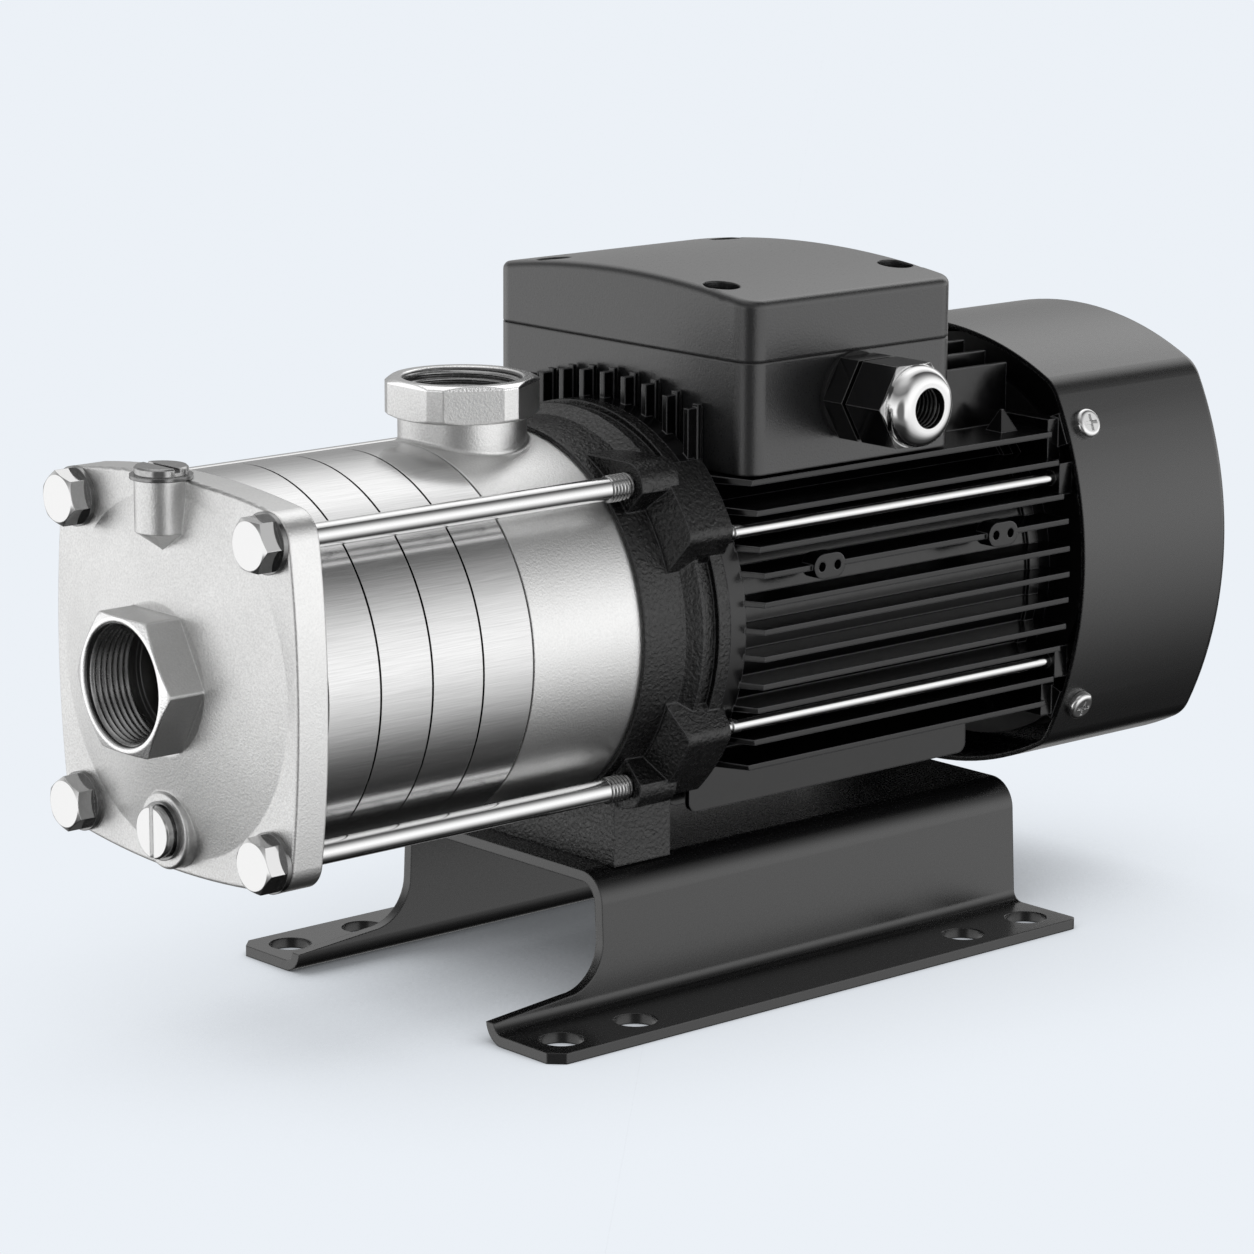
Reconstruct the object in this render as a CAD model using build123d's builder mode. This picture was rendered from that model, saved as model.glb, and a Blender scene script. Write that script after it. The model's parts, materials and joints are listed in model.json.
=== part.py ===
from build123d import *
import math
import os

# Horizontal multistage pump with its motor on a folded base plate. Millimetres.
# X runs along the shaft from the suction port (-X) to the fan cover (+X), Z is up,
# and the origin is the centre of the base plate's footprint on the floor.

# Places along the shaft and the shaft's height
axis_height = 135.6
bracket_front = -71.8
stage_count = 4
stage_pitch = 22.15
discharge_length = 50.0
frame_front = -35.5

# General clearances
slip = 0.1
running = 0.3
free_air = 0.4

# Base plate
base_length = 261.2
base_half_width = 90.5
base_sheet = 4.0
base_top = 51.0
leg_top_half = 53.0
leg_foot_half = 55.5
top_bend = 9.0
foot_bend = 6.5
foot_hole_radius = 8.0
foot_hole_half_width = 77.0
foot_hole_margin = 14.1
foot_hole_pitch = 34.2
leg_setback = 51.6
leg_sweep_radius = 17.0
curl_height = 7.6

# Casings
casing_radius = 68.0
casing_wall = 2.5
spigot_wall = 1.9
spigot_length = 3.0
groove_width = 0.8
groove_depth = 1.0
discharge_wall = 5.0
seal_ring_width = 1.4
seal_ring_depth = 1.2

# Suction cover
cover_thickness = 12.6
cover_half = 68.5
cover_corner = 63.15
cover_corner_radius = 11.0
dome_edge_radius = 63.0
dome_mid_radius = 43.7
dome_mid_rise = 3.8
dome_rise = 7.0
suction_reach = 22.0
port_thread_radius = 20.96
port_thread_length = 21.5
port_mouth_chamfer = 0.8
suction_passage_radius = 18.5
suction_flats = 46.5
suction_corner = 26.6
suction_ring_radius = 23.0

# Plugs in the suction cover
priming_boss_radius = 9.25
priming_boss_ahead = 3.7
priming_boss_length = 18.1
priming_tip_length = 24.6
plug_hole_radius = 6.5
plug_play = 0.08
drain_drop = 53.0
drain_boss_radius = 13.5
drain_boss_height = 5.6
plug_flange_radius = 10.25
plug_head_radius = 9.2
plug_slot = 2.2
slot_depth = 1.5

# Tie rods
rod_half = 54.0
rod_radius = 4.2
rod_thread_radius = 4.85
rod_head_flats = 17.0
rod_head_height = 7.0
rod_head_face_radius = 8.2
rod_head_bevel = 1.0
rod_head_turns = (17.0, 24.0, 4.0, 9.0)
washer_radius = 10.5
washer_thickness = 1.8

# Discharge port
discharge_port_x = -96.5
discharge_rise = 89.2
discharge_hex_height = 13.5
discharge_flats = 50.0
discharge_corner = 27.1
discharge_bevel = 1.5
neck_radius = 22.85
neck_fillet = 1.4

# Impellers, guide wheels and wear rings
impeller_radius = 48.0
impeller_eye = 16.0
impeller_eye_wall = 1.0
shroud = 1.5
blade_height = 6.0
blade_count = 6
blade_thickness = 1.6
axial_gap = 1.5
guide_plate = 2.0
guide_disc_radius = 54.0
guide_rim_inner = 59.0
guide_vane_count = 8
wear_ring_radius = 20.0
hub_radius = 12.0

# Shaft
pump_shaft = 8.0
seal_shaft = 9.0
front_bearing_bore = 10.0
rotor_shaft = 12.0
rear_bearing_bore = 8.5
fan_shaft = 7.5
seal_shaft_start = -98.0
shaft_nose = 8.0

# Shaft seal
seal_plate_thickness = 4.2
seat_radius = 15.0
seat_length = 6.0
seat_bore = 10.5
seal_hub_radius = 19.0
seal_ring_length = 6.0
seal_gap = 0.05
slinger_x = -57.0
slinger_radius = 19.0

# Bearings
front_bearing_width = 14.0
front_bearing_radius = 23.5
rear_bearing_x = 116.0
rear_bearing_width = 12.0
rear_bearing_radius = 20.0
race_gap = 0.05
wave_thickness = 1.2

# Bracket
bracket_lip = 69.6
bracket_socket = 3.0
bracket_inner = 62.0
bracket_ring_radius = 74.3
bracket_ring_width = 5.5
bracket_groove_radius = 72.0
bracket_groove_width = 5.5
bracket_facet_radius = 73.7
bracket_waist_radius = 70.3
bearing_hub_wall = 5.0
web_thickness = 4.0
foot_block_half = 49.3
foot_block_length = 26.7
foot_block_x = -54.55
ear_lobe_radius = 8.3
ear_plate_front = 4.8
ear_top_reach = 27.0
ear_thread_depth = 13.0
ear_block_front = 17.8
ear_block_length = 20.0
ear_block_radius = 82.2
ear_block_low = 26.0
ear_block_high = 47.0
ear_foot_lead = 4.7
ear_overlap = 4.0
ear_nose_radius = 5.0
bracket_bolt_half = 30.0
bracket_bolt_radius = 4.0
bolt_head_radius = 6.5
bolt_head_height = 5.0

# Motor frame
frame_radius = 68.0
frame_bore = 62.3
frame_length = 159.5
flange_radius = 74.2
flange_width = 7.5
frame_rear_recess = 8.0
fin_thickness = 2.3
fin_root = 4.8
fin_tip = 2.0
fin_slope = 9.0
fin_slope_rise = 18.0
top_fin_front = 4.4
top_fin_step = 8.9
top_fin_step_rise = 1.2
side_fins = [(0.0, 81.0), (9.8, 80.8), (20.1, 79.9), (29.1, 77.2), (41.5, 74.2), (51.7, 70.2)]
top_fins = [(0.0, 83.6), (11.3, 83.2), (22.5, 82.0), (33.7, 79.3), (44.9, 76.1)]
skirt_drop = 72.1
skirt_corner = 4.0
skirt_lip = 3.0
rear_band_radius = 69.6
rear_band_width = 5.0
rear_band_x = 122.0
casting_mark_x = 119.0
casting_mark_y = 56.0
casting_mark_half = 4.8
casting_mark_height = 9.2
casting_mark_taper = 25.0
platform_height = 70.0
platform_half = 47.0
pad_x = [6.0, 95.0]
pad_length = 15.0
pad_width = 9.0
pad_reach = 81.2
pad_hole_radius = 1.75
pad_hole_pitch = 7.6

# Motor rods
motor_rod_y = 69.35
motor_rod_z = 35.1
motor_rod_radius = 2.8
motor_rod_neck = 2.2
motor_rod_neck_end = 2.6
motor_rod_depth = 12.0
motor_rod_stub = 1.5
motor_nut_flats = 10.0
motor_nut_height = 5.0

# Stator and rotor
stator_start = -2.0
stator_length = 90.0
stator_bore = 38.3
air_gap = 0.4
winding_reach = 17.0
winding_inner = 41.0
winding_outer = 57.0

# Rear end shield, fan and fan cover
shield_ring_radius = 69.0
shield_disc = 4.0
shield_ring_length = 10.0
cover_screw_x = 148.0
cover_screw_z = 54.0
fan_cover_start = 138.4
fan_cover_length = 81.6
fan_cover_wall = 1.8
fan_cover_side = 82.4
fan_cover_crown = 86.4
fan_cover_corner_y = 64.5
fan_cover_corner_z = 69.3
fan_cover_corner_radius = 14.0
fan_cover_rear_radius = 4.0
grille_rings = [20.0, 30.0, 40.0, 50.0, 60.0]
grille_slot = 5.0
fan_x = 150.0
fan_length = 22.0
fan_radius = 71.0
fan_hub_radius = 13.0
fan_blade_root = 24.0
fan_rim = 14.0
fan_dish = 6.0
fan_blade_count = 7
fan_blade = 2.0
cover_screw_radius = 5.75
cover_screw_head = 3.2
cover_screw_shank = 2.4

# Terminal box
box_front = -23.5
box_length = 103.8
box_half_width = 69.4
box_rise = 53.7
box_height = 40.4
box_wall = 3.0
box_floor = 3.0
box_corner_radius = 8.0
box_gasket = 1.4
lid_height = 27.0
lid_crown_radius = 435.0
lid_edge_radius = 3.0
lid_seal = 0.6
lid_screw_half_x = 43.35
lid_screw_half_y = 45.5
lid_recess_radius = 6.7
lid_column_radius = 8.2
lid_screw_radius = 2.5
lid_screw_head = 4.3
lid_screw_sink = 14.7
box_screw_x = 28.0
box_screw_y = 38.0
box_screw_depth = 10.0
box_screw_radius = 2.4

# Cable gland
gland_ahead_of_middle = 1.0
gland_drop = 16.1
gland_gasket = 2.0
gland_flats = 29.2
gland_body_hex = 9.6
gland_neck = 2.0
gland_neck_radius = 11.5
gland_nut_length = 18.0
gland_dome_length = 7.4
gland_dome_radius = 14.65
gland_dome_rounding = 5.8
gland_hex_bevel = 1.2
gland_bore = 7.25
gland_thread_radius = 8.0

os.makedirs("parts", exist_ok=True)

shaft_axis = Axis((0, 0, axis_height), (1, 0, 0))
side_plane = Plane(origin=(0, 0, axis_height), x_dir=(1, 0, 0), z_dir=(0, -1, 0))

stages_start = bracket_front - discharge_length - stage_count * stage_pitch
cover_front = stages_start - cover_thickness
dome_top = cover_front - dome_rise
suction_face = cover_front - suction_reach
discharge_top = axis_height + discharge_rise
discharge_start = bracket_front - discharge_length
casing_bore = casing_radius - casing_wall
spigot_radius = casing_bore - slip
socket_end = bracket_front + bracket_socket
frame_rear = frame_front + flange_width + frame_length
cover_top = axis_height + cover_half
box_bottom = axis_height + box_rise
box_split = box_bottom + box_height
lid_crown = box_split + lid_height
lid_screw_seat = lid_crown - lid_screw_sink
box_rear = box_front + box_length
box_middle = (box_front + box_rear) / 2
gland_x = box_middle - gland_ahead_of_middle
gland_z = box_split - gland_drop
outer_foot_hole = base_length / 2 - foot_hole_margin
inner_foot_hole = outer_foot_hole - foot_hole_pitch
priming_boss_bottom = cover_top - priming_boss_length
priming_tip = cover_top - priming_tip_length
quadrants = [(1, 1), (1, -1), (-1, 1), (-1, -1)]


def across(x):
    """A plane square to the shaft: first coordinate Y, second the height above the shaft."""
    return Plane(origin=(x, 0, axis_height), x_dir=(0, 1, 0), z_dir=(1, 0, 0))


def spot(radius, angle):
    """A point at a radius and an angle in degrees."""
    return (radius * math.cos(math.radians(angle)), radius * math.sin(math.radians(angle)))


def turned(*points, axis=shaft_axis, plane=side_plane, mode=Mode.ADD):
    """Turn a half section, given as (along, radius) points, round an axis."""
    with BuildSketch(plane) as section:
        with BuildLine() as outline:
            Polyline(*points, close=True)
        make_face(outline.edges())
    revolve(section.sketch, axis=axis, mode=mode)


def ring(start, end, outer, inner, mode=Mode.ADD):
    """A plain ring on the shaft axis."""
    turned((start, inner), (start, outer), (end, outer), (end, inner), mode=mode)


def bulged(half_y, half_z, corner_y, corner_z, rounding, inset=0):
    """A square outline with gently bowed sides and round corners, in the active sketch."""
    with BuildLine() as outline:
        ThreePointArc((corner_y, -corner_z), (half_y, 0), (corner_y, corner_z))
        ThreePointArc((corner_y, corner_z), (0, half_z), (-corner_y, corner_z))
        ThreePointArc((-corner_y, corner_z), (-half_y, 0), (-corner_y, -corner_z))
        ThreePointArc((-corner_y, -corner_z), (0, -half_z), (corner_y, -corner_z))
    face = make_face(outline.edges())
    if inset:
        face = offset(face, amount=-inset, mode=Mode.REPLACE)
    fillet(face.vertices(), rounding - inset)


def vanes(count, inner, outer, sweep, thickness):
    """Curved vanes as faces in the active sketch."""
    for index in range(count):
        start = 360 / count * index
        with BuildLine() as camber:
            ThreePointArc(
                spot(inner, start),
                spot((inner + outer) / 2, start + 0.36 * sweep),
                spot(outer, start + sweep),
            )
        trace(camber.edges(), line_width=thickness)


def bow(half, corner_across, corner_along, along):
    """Half width of a bowed side, and the side's lean in degrees, at a distance from its middle."""
    sag = half - corner_across
    radius = (corner_along ** 2 + sag ** 2) / (2 * sag)
    width = half - radius + math.sqrt(radius ** 2 - along ** 2)
    return width, math.degrees(math.asin(along / radius))


def save(piece, name):
    """Label a finished piece and write it as a node of its own."""
    piece.part.label = name
    export_step(piece.part, f"parts/{name}.step")


# Base plate: one folded sheet, hat shaped, its legs cut back in a sweep at the pump end
base_front = -base_length / 2
leg_front = base_front + leg_setback
sheet_middle = base_sheet / 2
with BuildPart() as base_plate:
    with BuildSketch(Plane.YZ.offset(base_front)):
        with BuildLine():
            FilletPolyline(
                (-base_half_width, sheet_middle),
                (-leg_foot_half, sheet_middle),
                (-leg_top_half, base_top - sheet_middle),
                (leg_top_half, base_top - sheet_middle),
                (leg_foot_half, sheet_middle),
                (base_half_width, sheet_middle),
                radius=[foot_bend, top_bend, top_bend, foot_bend],
            )
        trace(line_width=base_sheet)
    extrude(amount=base_length)
    with BuildSketch(Plane.XZ):
        with BuildLine():
            sweep_start = (leg_front - leg_sweep_radius, curl_height + 3)
            sweep_end = (leg_front, curl_height + 3 + leg_sweep_radius)
            Polyline((base_front - 1, curl_height), sweep_start)
            RadiusArc(sweep_start, sweep_end, -leg_sweep_radius)
            Polyline(
                sweep_end,
                (leg_front, base_top + 1),
                (base_front - 1, base_top + 1),
                (base_front - 1, curl_height),
            )
        make_face()
    extrude(amount=base_half_width, both=True, mode=Mode.SUBTRACT)
    corners = base_plate.edges().filter_by(Axis.Z).filter_by(
        lambda edge: abs(edge.center().Y) > base_half_width - 0.01
    )
    chamfer(corners.filter_by(lambda edge: edge.center().X < 0), 5)
    corners = base_plate.edges().filter_by(Axis.Z).filter_by(
        lambda edge: abs(edge.center().Y) > base_half_width - 0.01
        and edge.center().X > base_length / 2 - 0.01
    )
    fillet(corners, 3)
    with BuildSketch():
        with GridLocations(2 * outer_foot_hole, 2 * foot_hole_half_width, 2, 2):
            Circle(foot_hole_radius)
        with GridLocations(2 * inner_foot_hole, 2 * foot_hole_half_width, 2, 2):
            Circle(foot_hole_radius)
        with Locations((foot_block_x, bracket_bolt_half), (foot_block_x, -bracket_bolt_half)):
            Circle(bracket_bolt_radius + free_air)
    extrude(amount=base_top, mode=Mode.SUBTRACT)
save(base_plate, "base_plate")

# Bolts from below that hold the bracket on the base plate
bolt_depth = 14.0
with BuildPart() as bracket_bolts:
    bolt_places = [(foot_block_x, bracket_bolt_half), (foot_block_x, -bracket_bolt_half)]
    plate_under = base_top - base_sheet
    with BuildSketch(Plane.XY.offset(plate_under - bolt_head_height)):
        with Locations(*bolt_places):
            RegularPolygon(bolt_head_radius, 6, major_radius=False)
    extrude(amount=bolt_head_height)
    with BuildSketch(Plane.XY.offset(plate_under)):
        with Locations(*bolt_places):
            Circle(bracket_bolt_radius)
    extrude(amount=base_sheet + bolt_depth)
save(bracket_bolts, "bracket_bolts")

# Bracket: a cast lantern with the front bearing's seat, four ears and a foot block
bracket_rear = frame_front
ring_start = bracket_rear - bracket_ring_width
groove_start = ring_start - bracket_groove_width
bearing_start = bracket_rear - front_bearing_width
hub_outer = front_bearing_radius + bearing_hub_wall
frame_spigot = 4.0
frame_spigot_radius = 66.0
ear_front = bracket_front + ear_plate_front
ear_block_start = bracket_front + ear_block_front
ear_block_end = ear_block_start + ear_block_length
lobe_edge = rod_half + ear_lobe_radius


def lobe(side, level):
    """Section of an ear round its tie rod, slanted back to the ring below, in the active sketch."""
    slant = 0.7 * ear_lobe_radius
    with BuildLine() as outline:
        Polyline(
            (side * lobe_edge, level * rod_half),
            (side * lobe_edge, level * (lobe_edge - slant - ear_lobe_radius / 2)),
            (side * (rod_half - 1), level * (rod_half - 1.3 * ear_lobe_radius)),
            (side * (bracket_inner - 24), level * (bracket_inner - 22)),
            (side * ear_top_reach, level * (rod_half + 2)),
            (side * ear_top_reach, level * lobe_edge),
            (side * rod_half, level * lobe_edge),
        )
        ThreePointArc(
            (side * rod_half, level * lobe_edge),
            (
                side * (rod_half + ear_lobe_radius * math.sqrt(0.5)),
                level * (rod_half + ear_lobe_radius * math.sqrt(0.5)),
            ),
            (side * lobe_edge, level * rod_half),
        )
    make_face(outline.edges())


def ear_block(side, level):
    """Section of an ear's rear block, with a round nose over the motor rod, in the active sketch."""
    top, middle, low = (
        spot(ear_block_radius, angle)
        for angle in (ear_block_high, (ear_block_high + ear_block_low) / 2, ear_block_low)
    )
    foot = spot(bracket_waist_radius, ear_block_low - 6.5)
    inner = spot(bracket_inner, ear_block_low)
    outer = spot(bracket_inner, ear_block_high)
    corners = [(side * y, level * z) for y, z in (top, middle, low, foot, inner, outer)]
    with BuildLine() as outline:
        ThreePointArc(*corners[:3])
        Polyline(*corners[2:], corners[0])
    face = make_face(outline.edges())
    nose = face.vertices().sort_by_distance((side * low[0], level * low[1]))[0]
    fillet(nose, ear_nose_radius)


with BuildPart() as motor_bracket:
    turned(
        (bracket_front, bracket_inner),
        (bracket_front, bracket_lip),
        (groove_start - 7, bracket_waist_radius),
        (groove_start - 1.5, bracket_facet_radius),
        (groove_start, bracket_facet_radius),
        (groove_start, bracket_groove_radius),
        (ring_start, bracket_groove_radius),
        (ring_start, bracket_ring_radius),
        (bracket_rear, bracket_ring_radius),
        (bracket_rear, bracket_inner),
    )
    with BuildSketch(across(ear_block_start - ear_foot_lead)):
        for side, level in quadrants:
            ear_block(side, level)
    extrude(amount=ear_foot_lead + ear_block_length)
    turned(
        (ear_block_start - ear_foot_lead - 1, bracket_waist_radius + 1),
        (ear_block_start - ear_foot_lead, bracket_waist_radius + 1),
        (ear_block_start, ear_block_radius),
        (ear_block_start, ear_block_radius + 5),
        (ear_block_start - ear_foot_lead - 1, ear_block_radius + 5),
        mode=Mode.SUBTRACT,
    )
    with BuildSketch(across(ear_front)):
        for side, level in quadrants:
            lobe(side, level)
    extrude(amount=ear_block_start + ear_overlap - ear_front)
    with BuildSketch(Plane.XY.offset(base_top)):
        with Locations((foot_block_x, 0)):
            Rectangle(foot_block_length, 2 * foot_block_half)
    extrude(amount=axis_height - base_top - bracket_inner * 0.6)
    ring(bracket_front - 1, bracket_rear, bracket_inner, 0, mode=Mode.SUBTRACT)
    ring(bracket_rear, ear_block_end + 1, flange_radius + slip, 0, mode=Mode.SUBTRACT)
    ring(bracket_rear - 1, bracket_rear + frame_spigot, frame_spigot_radius, bracket_inner)
    ring(bearing_start - 2.5, bracket_rear, hub_outer, seal_shaft + 2)
    ring(bracket_rear - web_thickness, bracket_rear, bracket_inner + 1, hub_outer - 1)
    with BuildSketch(across(bearing_start - 2.5)):
        with PolarLocations((hub_outer + bracket_inner) / 2, 6):
            Rectangle(bracket_inner - hub_outer + 2, web_thickness)
    extrude(amount=front_bearing_width + 2.5 - web_thickness)
    ring(bearing_start, bracket_rear + frame_spigot, front_bearing_radius, 0, mode=Mode.SUBTRACT)
    ring(bracket_front - 1, socket_end, casing_radius + slip, 0, mode=Mode.SUBTRACT)
    with BuildSketch(across(ear_front)):
        for side, level in quadrants:
            with Locations((side * rod_half, level * rod_half)):
                Circle(rod_radius)
    extrude(amount=ear_thread_depth + 1, mode=Mode.SUBTRACT)
    with BuildSketch(across(ear_block_end)):
        for side, level in quadrants:
            with Locations((side * motor_rod_y, level * motor_rod_z)):
                Circle(motor_rod_neck)
    extrude(amount=-motor_rod_depth - 1, mode=Mode.SUBTRACT)
    with BuildSketch(Plane.XY.offset(base_top)):
        with Locations(*bolt_places):
            Circle(bracket_bolt_radius)
    extrude(amount=bolt_depth + 1, mode=Mode.SUBTRACT)
save(motor_bracket, "motor_bracket")

# Suction cover: bowed square plate with a dome, the hexagonal port, two plug bosses
priming_x = cover_front - priming_boss_ahead
priming_plane = Plane(origin=(priming_x, 0, 0), x_dir=(1, 0, 0), z_dir=(0, -1, 0))
priming_axis = Axis((priming_x, 0, 0), (0, 0, 1))
plug_depth = 12.0
drain_face = cover_front - drain_boss_height
drain_axis = Axis((0, 0, axis_height - drain_drop), (1, 0, 0))
drain_plane = Plane(origin=(0, 0, axis_height - drain_drop), x_dir=(1, 0, 0), z_dir=(0, -1, 0))
with BuildPart() as suction_cover:
    with BuildSketch(across(cover_front)):
        bulged(cover_half, cover_half, cover_corner, cover_corner, cover_corner_radius)
    extrude(amount=cover_thickness)
    fillet(suction_cover.faces().sort_by(Axis.X)[0].edges(), 1.2)
    with BuildSketch(side_plane):
        with BuildLine():
            ThreePointArc(
                (cover_front, dome_edge_radius),
                (cover_front - dome_mid_rise, dome_mid_radius),
                (dome_top, suction_corner),
            )
            Polyline(
                (dome_top, suction_corner),
                (dome_top, 0),
                (cover_front + 3, 0),
                (cover_front + 3, dome_edge_radius),
                (cover_front, dome_edge_radius),
            )
        make_face()
    revolve(axis=shaft_axis)
    with BuildSketch(across(dome_top + 1)):
        RegularPolygon(suction_flats / 2, 6, major_radius=False)
        RegularPolygon(suction_corner, 6, major_radius=False, rotation=30, mode=Mode.INTERSECT)
    extrude(amount=suction_face - dome_top - 1)
    turned(
        (suction_face - 1, suction_ring_radius),
        (suction_face, suction_ring_radius),
        (suction_face + 1.5, suction_corner + 0.5),
        (suction_face - 1, suction_corner + 0.5),
        mode=Mode.SUBTRACT,
    )
    with BuildSketch(priming_plane):
        with BuildLine():
            Polyline(
                (0, priming_tip),
                (priming_boss_radius, priming_boss_bottom),
                (priming_boss_radius, cover_top),
                (0, cover_top),
                close=True,
            )
        make_face()
    revolve(axis=priming_axis)
    turned(
        (drain_face, 0),
        (drain_face, drain_boss_radius - 0.8),
        (drain_face + 0.8, drain_boss_radius),
        (cover_front + 2, drain_boss_radius),
        (cover_front + 2, 0),
        axis=drain_axis,
        plane=drain_plane,
    )
    ring(stages_start, stages_start + spigot_length, spigot_radius, spigot_radius - 2 * spigot_wall)
    ring(
        stages_start + 0.8,
        stages_start + 0.8 + seal_ring_width,
        spigot_radius,
        spigot_radius - seal_ring_depth,
        mode=Mode.SUBTRACT,
    )
    turned(
        (suction_face - 1, 0),
        (suction_face - 1, port_thread_radius + port_mouth_chamfer + 1),
        (suction_face + port_mouth_chamfer, port_thread_radius),
        (suction_face + port_thread_length, port_thread_radius),
        (suction_face + port_thread_length, suction_passage_radius),
        (stages_start, suction_passage_radius),
        (stages_start, 0),
        mode=Mode.SUBTRACT,
    )
    ring(stages_start - guide_plate, stages_start, wear_ring_radius, 0, mode=Mode.SUBTRACT)
    with BuildSketch(Plane(origin=(priming_x, 0, cover_top), z_dir=(0, 0, -1))):
        Circle(plug_hole_radius)
    extrude(amount=plug_depth + 2, mode=Mode.SUBTRACT)
    with BuildSketch(Plane(origin=(priming_x, 0, cover_top - plug_depth), x_dir=(0, 1, 0), z_dir=(1, 0, 0))):
        Circle(plug_hole_radius / 2)
    extrude(amount=stages_start - priming_x, mode=Mode.SUBTRACT)
    with BuildSketch(across(drain_face)):
        with Locations((0, -drain_drop)):
            Circle(plug_hole_radius)
    extrude(amount=stages_start - drain_face, mode=Mode.SUBTRACT)
    with BuildSketch(across(dome_top)):
        for side, level in quadrants:
            with Locations((side * rod_half, level * rod_half)):
                Circle(rod_thread_radius + free_air)
    extrude(amount=cover_thickness + dome_rise, mode=Mode.SUBTRACT)
save(suction_cover, "suction_cover")

# Priming plug and drain plug, each with a flat sealing ring under its flange
plug_seal = 1.3
plug_head = 2.9
with BuildPart() as priming_plug_seal:
    with BuildSketch(Plane(origin=(priming_x, 0, cover_top))):
        Circle(plug_flange_radius + 0.5)
        Circle(plug_hole_radius, mode=Mode.SUBTRACT)
    extrude(amount=plug_seal)
save(priming_plug_seal, "priming_plug_seal")

with BuildPart() as priming_plug:
    plug_top = cover_top + plug_seal + plug_head
    with BuildSketch(priming_plane):
        with BuildLine():
            Polyline(
                (0, cover_top - plug_depth + 4),
                (plug_hole_radius - plug_play, cover_top - plug_depth + 4),
                (plug_hole_radius - plug_play, cover_top + plug_seal),
                (plug_head_radius, cover_top + plug_seal),
                (plug_head_radius, plug_top - 0.6),
                (plug_head_radius - 0.6, plug_top),
                (0, plug_top),
                close=True,
            )
        make_face()
    revolve(axis=priming_axis)
    with Locations((priming_x, 0, plug_top)):
        Box(plug_slot, 2 * plug_head_radius + 2, 2 * slot_depth, mode=Mode.SUBTRACT)
save(priming_plug, "priming_plug")

with BuildPart() as drain_plug_seal:
    with BuildSketch(across(drain_face - plug_seal)):
        with Locations((0, -drain_drop)):
            Circle(plug_flange_radius)
            Circle(plug_hole_radius, mode=Mode.SUBTRACT)
    extrude(amount=plug_seal)
save(drain_plug_seal, "drain_plug_seal")

with BuildPart() as drain_plug:
    plug_back = drain_face - plug_seal
    plug_nose = plug_back - 3.5
    turned(
        (drain_face + plug_depth - 2, 0),
        (drain_face + plug_depth - 2, plug_hole_radius - plug_play),
        (plug_back, plug_hole_radius - plug_play),
        (plug_back, plug_head_radius - 1),
        (plug_back - 0.8, plug_head_radius - 1),
        (plug_back - 0.8, plug_head_radius),
        (plug_nose + 0.6, plug_head_radius),
        (plug_nose, plug_head_radius - 0.6),
        (plug_nose, 0),
        axis=drain_axis,
        plane=drain_plane,
    )
    with Locations((plug_nose, 0, axis_height - drain_drop)):
        Box(2 * slot_depth, plug_slot, 2 * plug_head_radius + 2, mode=Mode.SUBTRACT)
save(drain_plug, "drain_plug")

# Tie rods with hexagonal heads, and a washer under each head
head_seat = cover_front - washer_thickness
head_face = head_seat - rod_head_height
rod_end = ear_front + ear_thread_depth
with BuildPart() as tie_rods:
    with BuildSketch(across(head_face)):
        for (side, level), turn in zip(quadrants, rod_head_turns):
            with Locations((side * rod_half, level * rod_half)):
                RegularPolygon(rod_head_flats / 2, 6, major_radius=False, rotation=turn)
    extrude(amount=rod_head_height)
    for side, level in quadrants:
        rod_level = axis_height + level * rod_half
        turned(
            (head_face - 1, rod_head_face_radius),
            (head_face, rod_head_face_radius),
            (head_face + rod_head_bevel, rod_head_face_radius + rod_head_bevel * math.sqrt(3)),
            (head_face + rod_head_bevel, rod_head_flats),
            (head_face - 1, rod_head_flats),
            axis=Axis((0, side * rod_half, rod_level), (1, 0, 0)),
            plane=Plane(origin=(0, side * rod_half, rod_level), x_dir=(1, 0, 0), z_dir=(0, -1, 0)),
            mode=Mode.SUBTRACT,
        )
    with BuildSketch(across(head_seat)):
        for side, level in quadrants:
            with Locations((side * rod_half, level * rod_half)):
                Circle(rod_radius)
    extrude(amount=rod_end - head_seat)
save(tie_rods, "tie_rods")

with BuildPart() as tie_rod_washers:
    with BuildSketch(across(head_seat)):
        for side, level in quadrants:
            with Locations((side * rod_half, level * rod_half)):
                Circle(washer_radius)
                Circle(rod_radius + 0.3, mode=Mode.SUBTRACT)
    extrude(amount=washer_thickness)
save(tie_rod_washers, "tie_rod_washers")

# Stage casings: rings with a spigot that enters the next one
lip_inner = spigot_radius - spigot_wall
for stage in range(stage_count):
    start = stages_start + stage * stage_pitch
    end = start + stage_pitch
    with BuildPart() as stage_casing:
        turned(
            (start, casing_bore),
            (start, casing_radius - groove_depth),
            (start + groove_width, casing_radius - groove_depth),
            (start + groove_width, casing_radius),
            (end, casing_radius),
            (end, spigot_radius),
            (end + 0.8, spigot_radius),
            (end + 0.8, spigot_radius - seal_ring_depth),
            (end + 0.8 + seal_ring_width, spigot_radius - seal_ring_depth),
            (end + 0.8 + seal_ring_width, spigot_radius),
            (end + spigot_length, spigot_radius),
            (end + spigot_length, lip_inner),
            (end - spigot_length, lip_inner),
            (end - spigot_length, casing_bore),
        )
    save(stage_casing, f"stage_casing_{stage + 1}")

with BuildPart() as stage_seals:
    for joint in range(stage_count + 1):
        seal_x = stages_start + joint * stage_pitch + 0.8
        ring(seal_x, seal_x + seal_ring_width, casing_bore, spigot_radius - seal_ring_depth)
save(stage_seals, "stage_seals")

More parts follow.
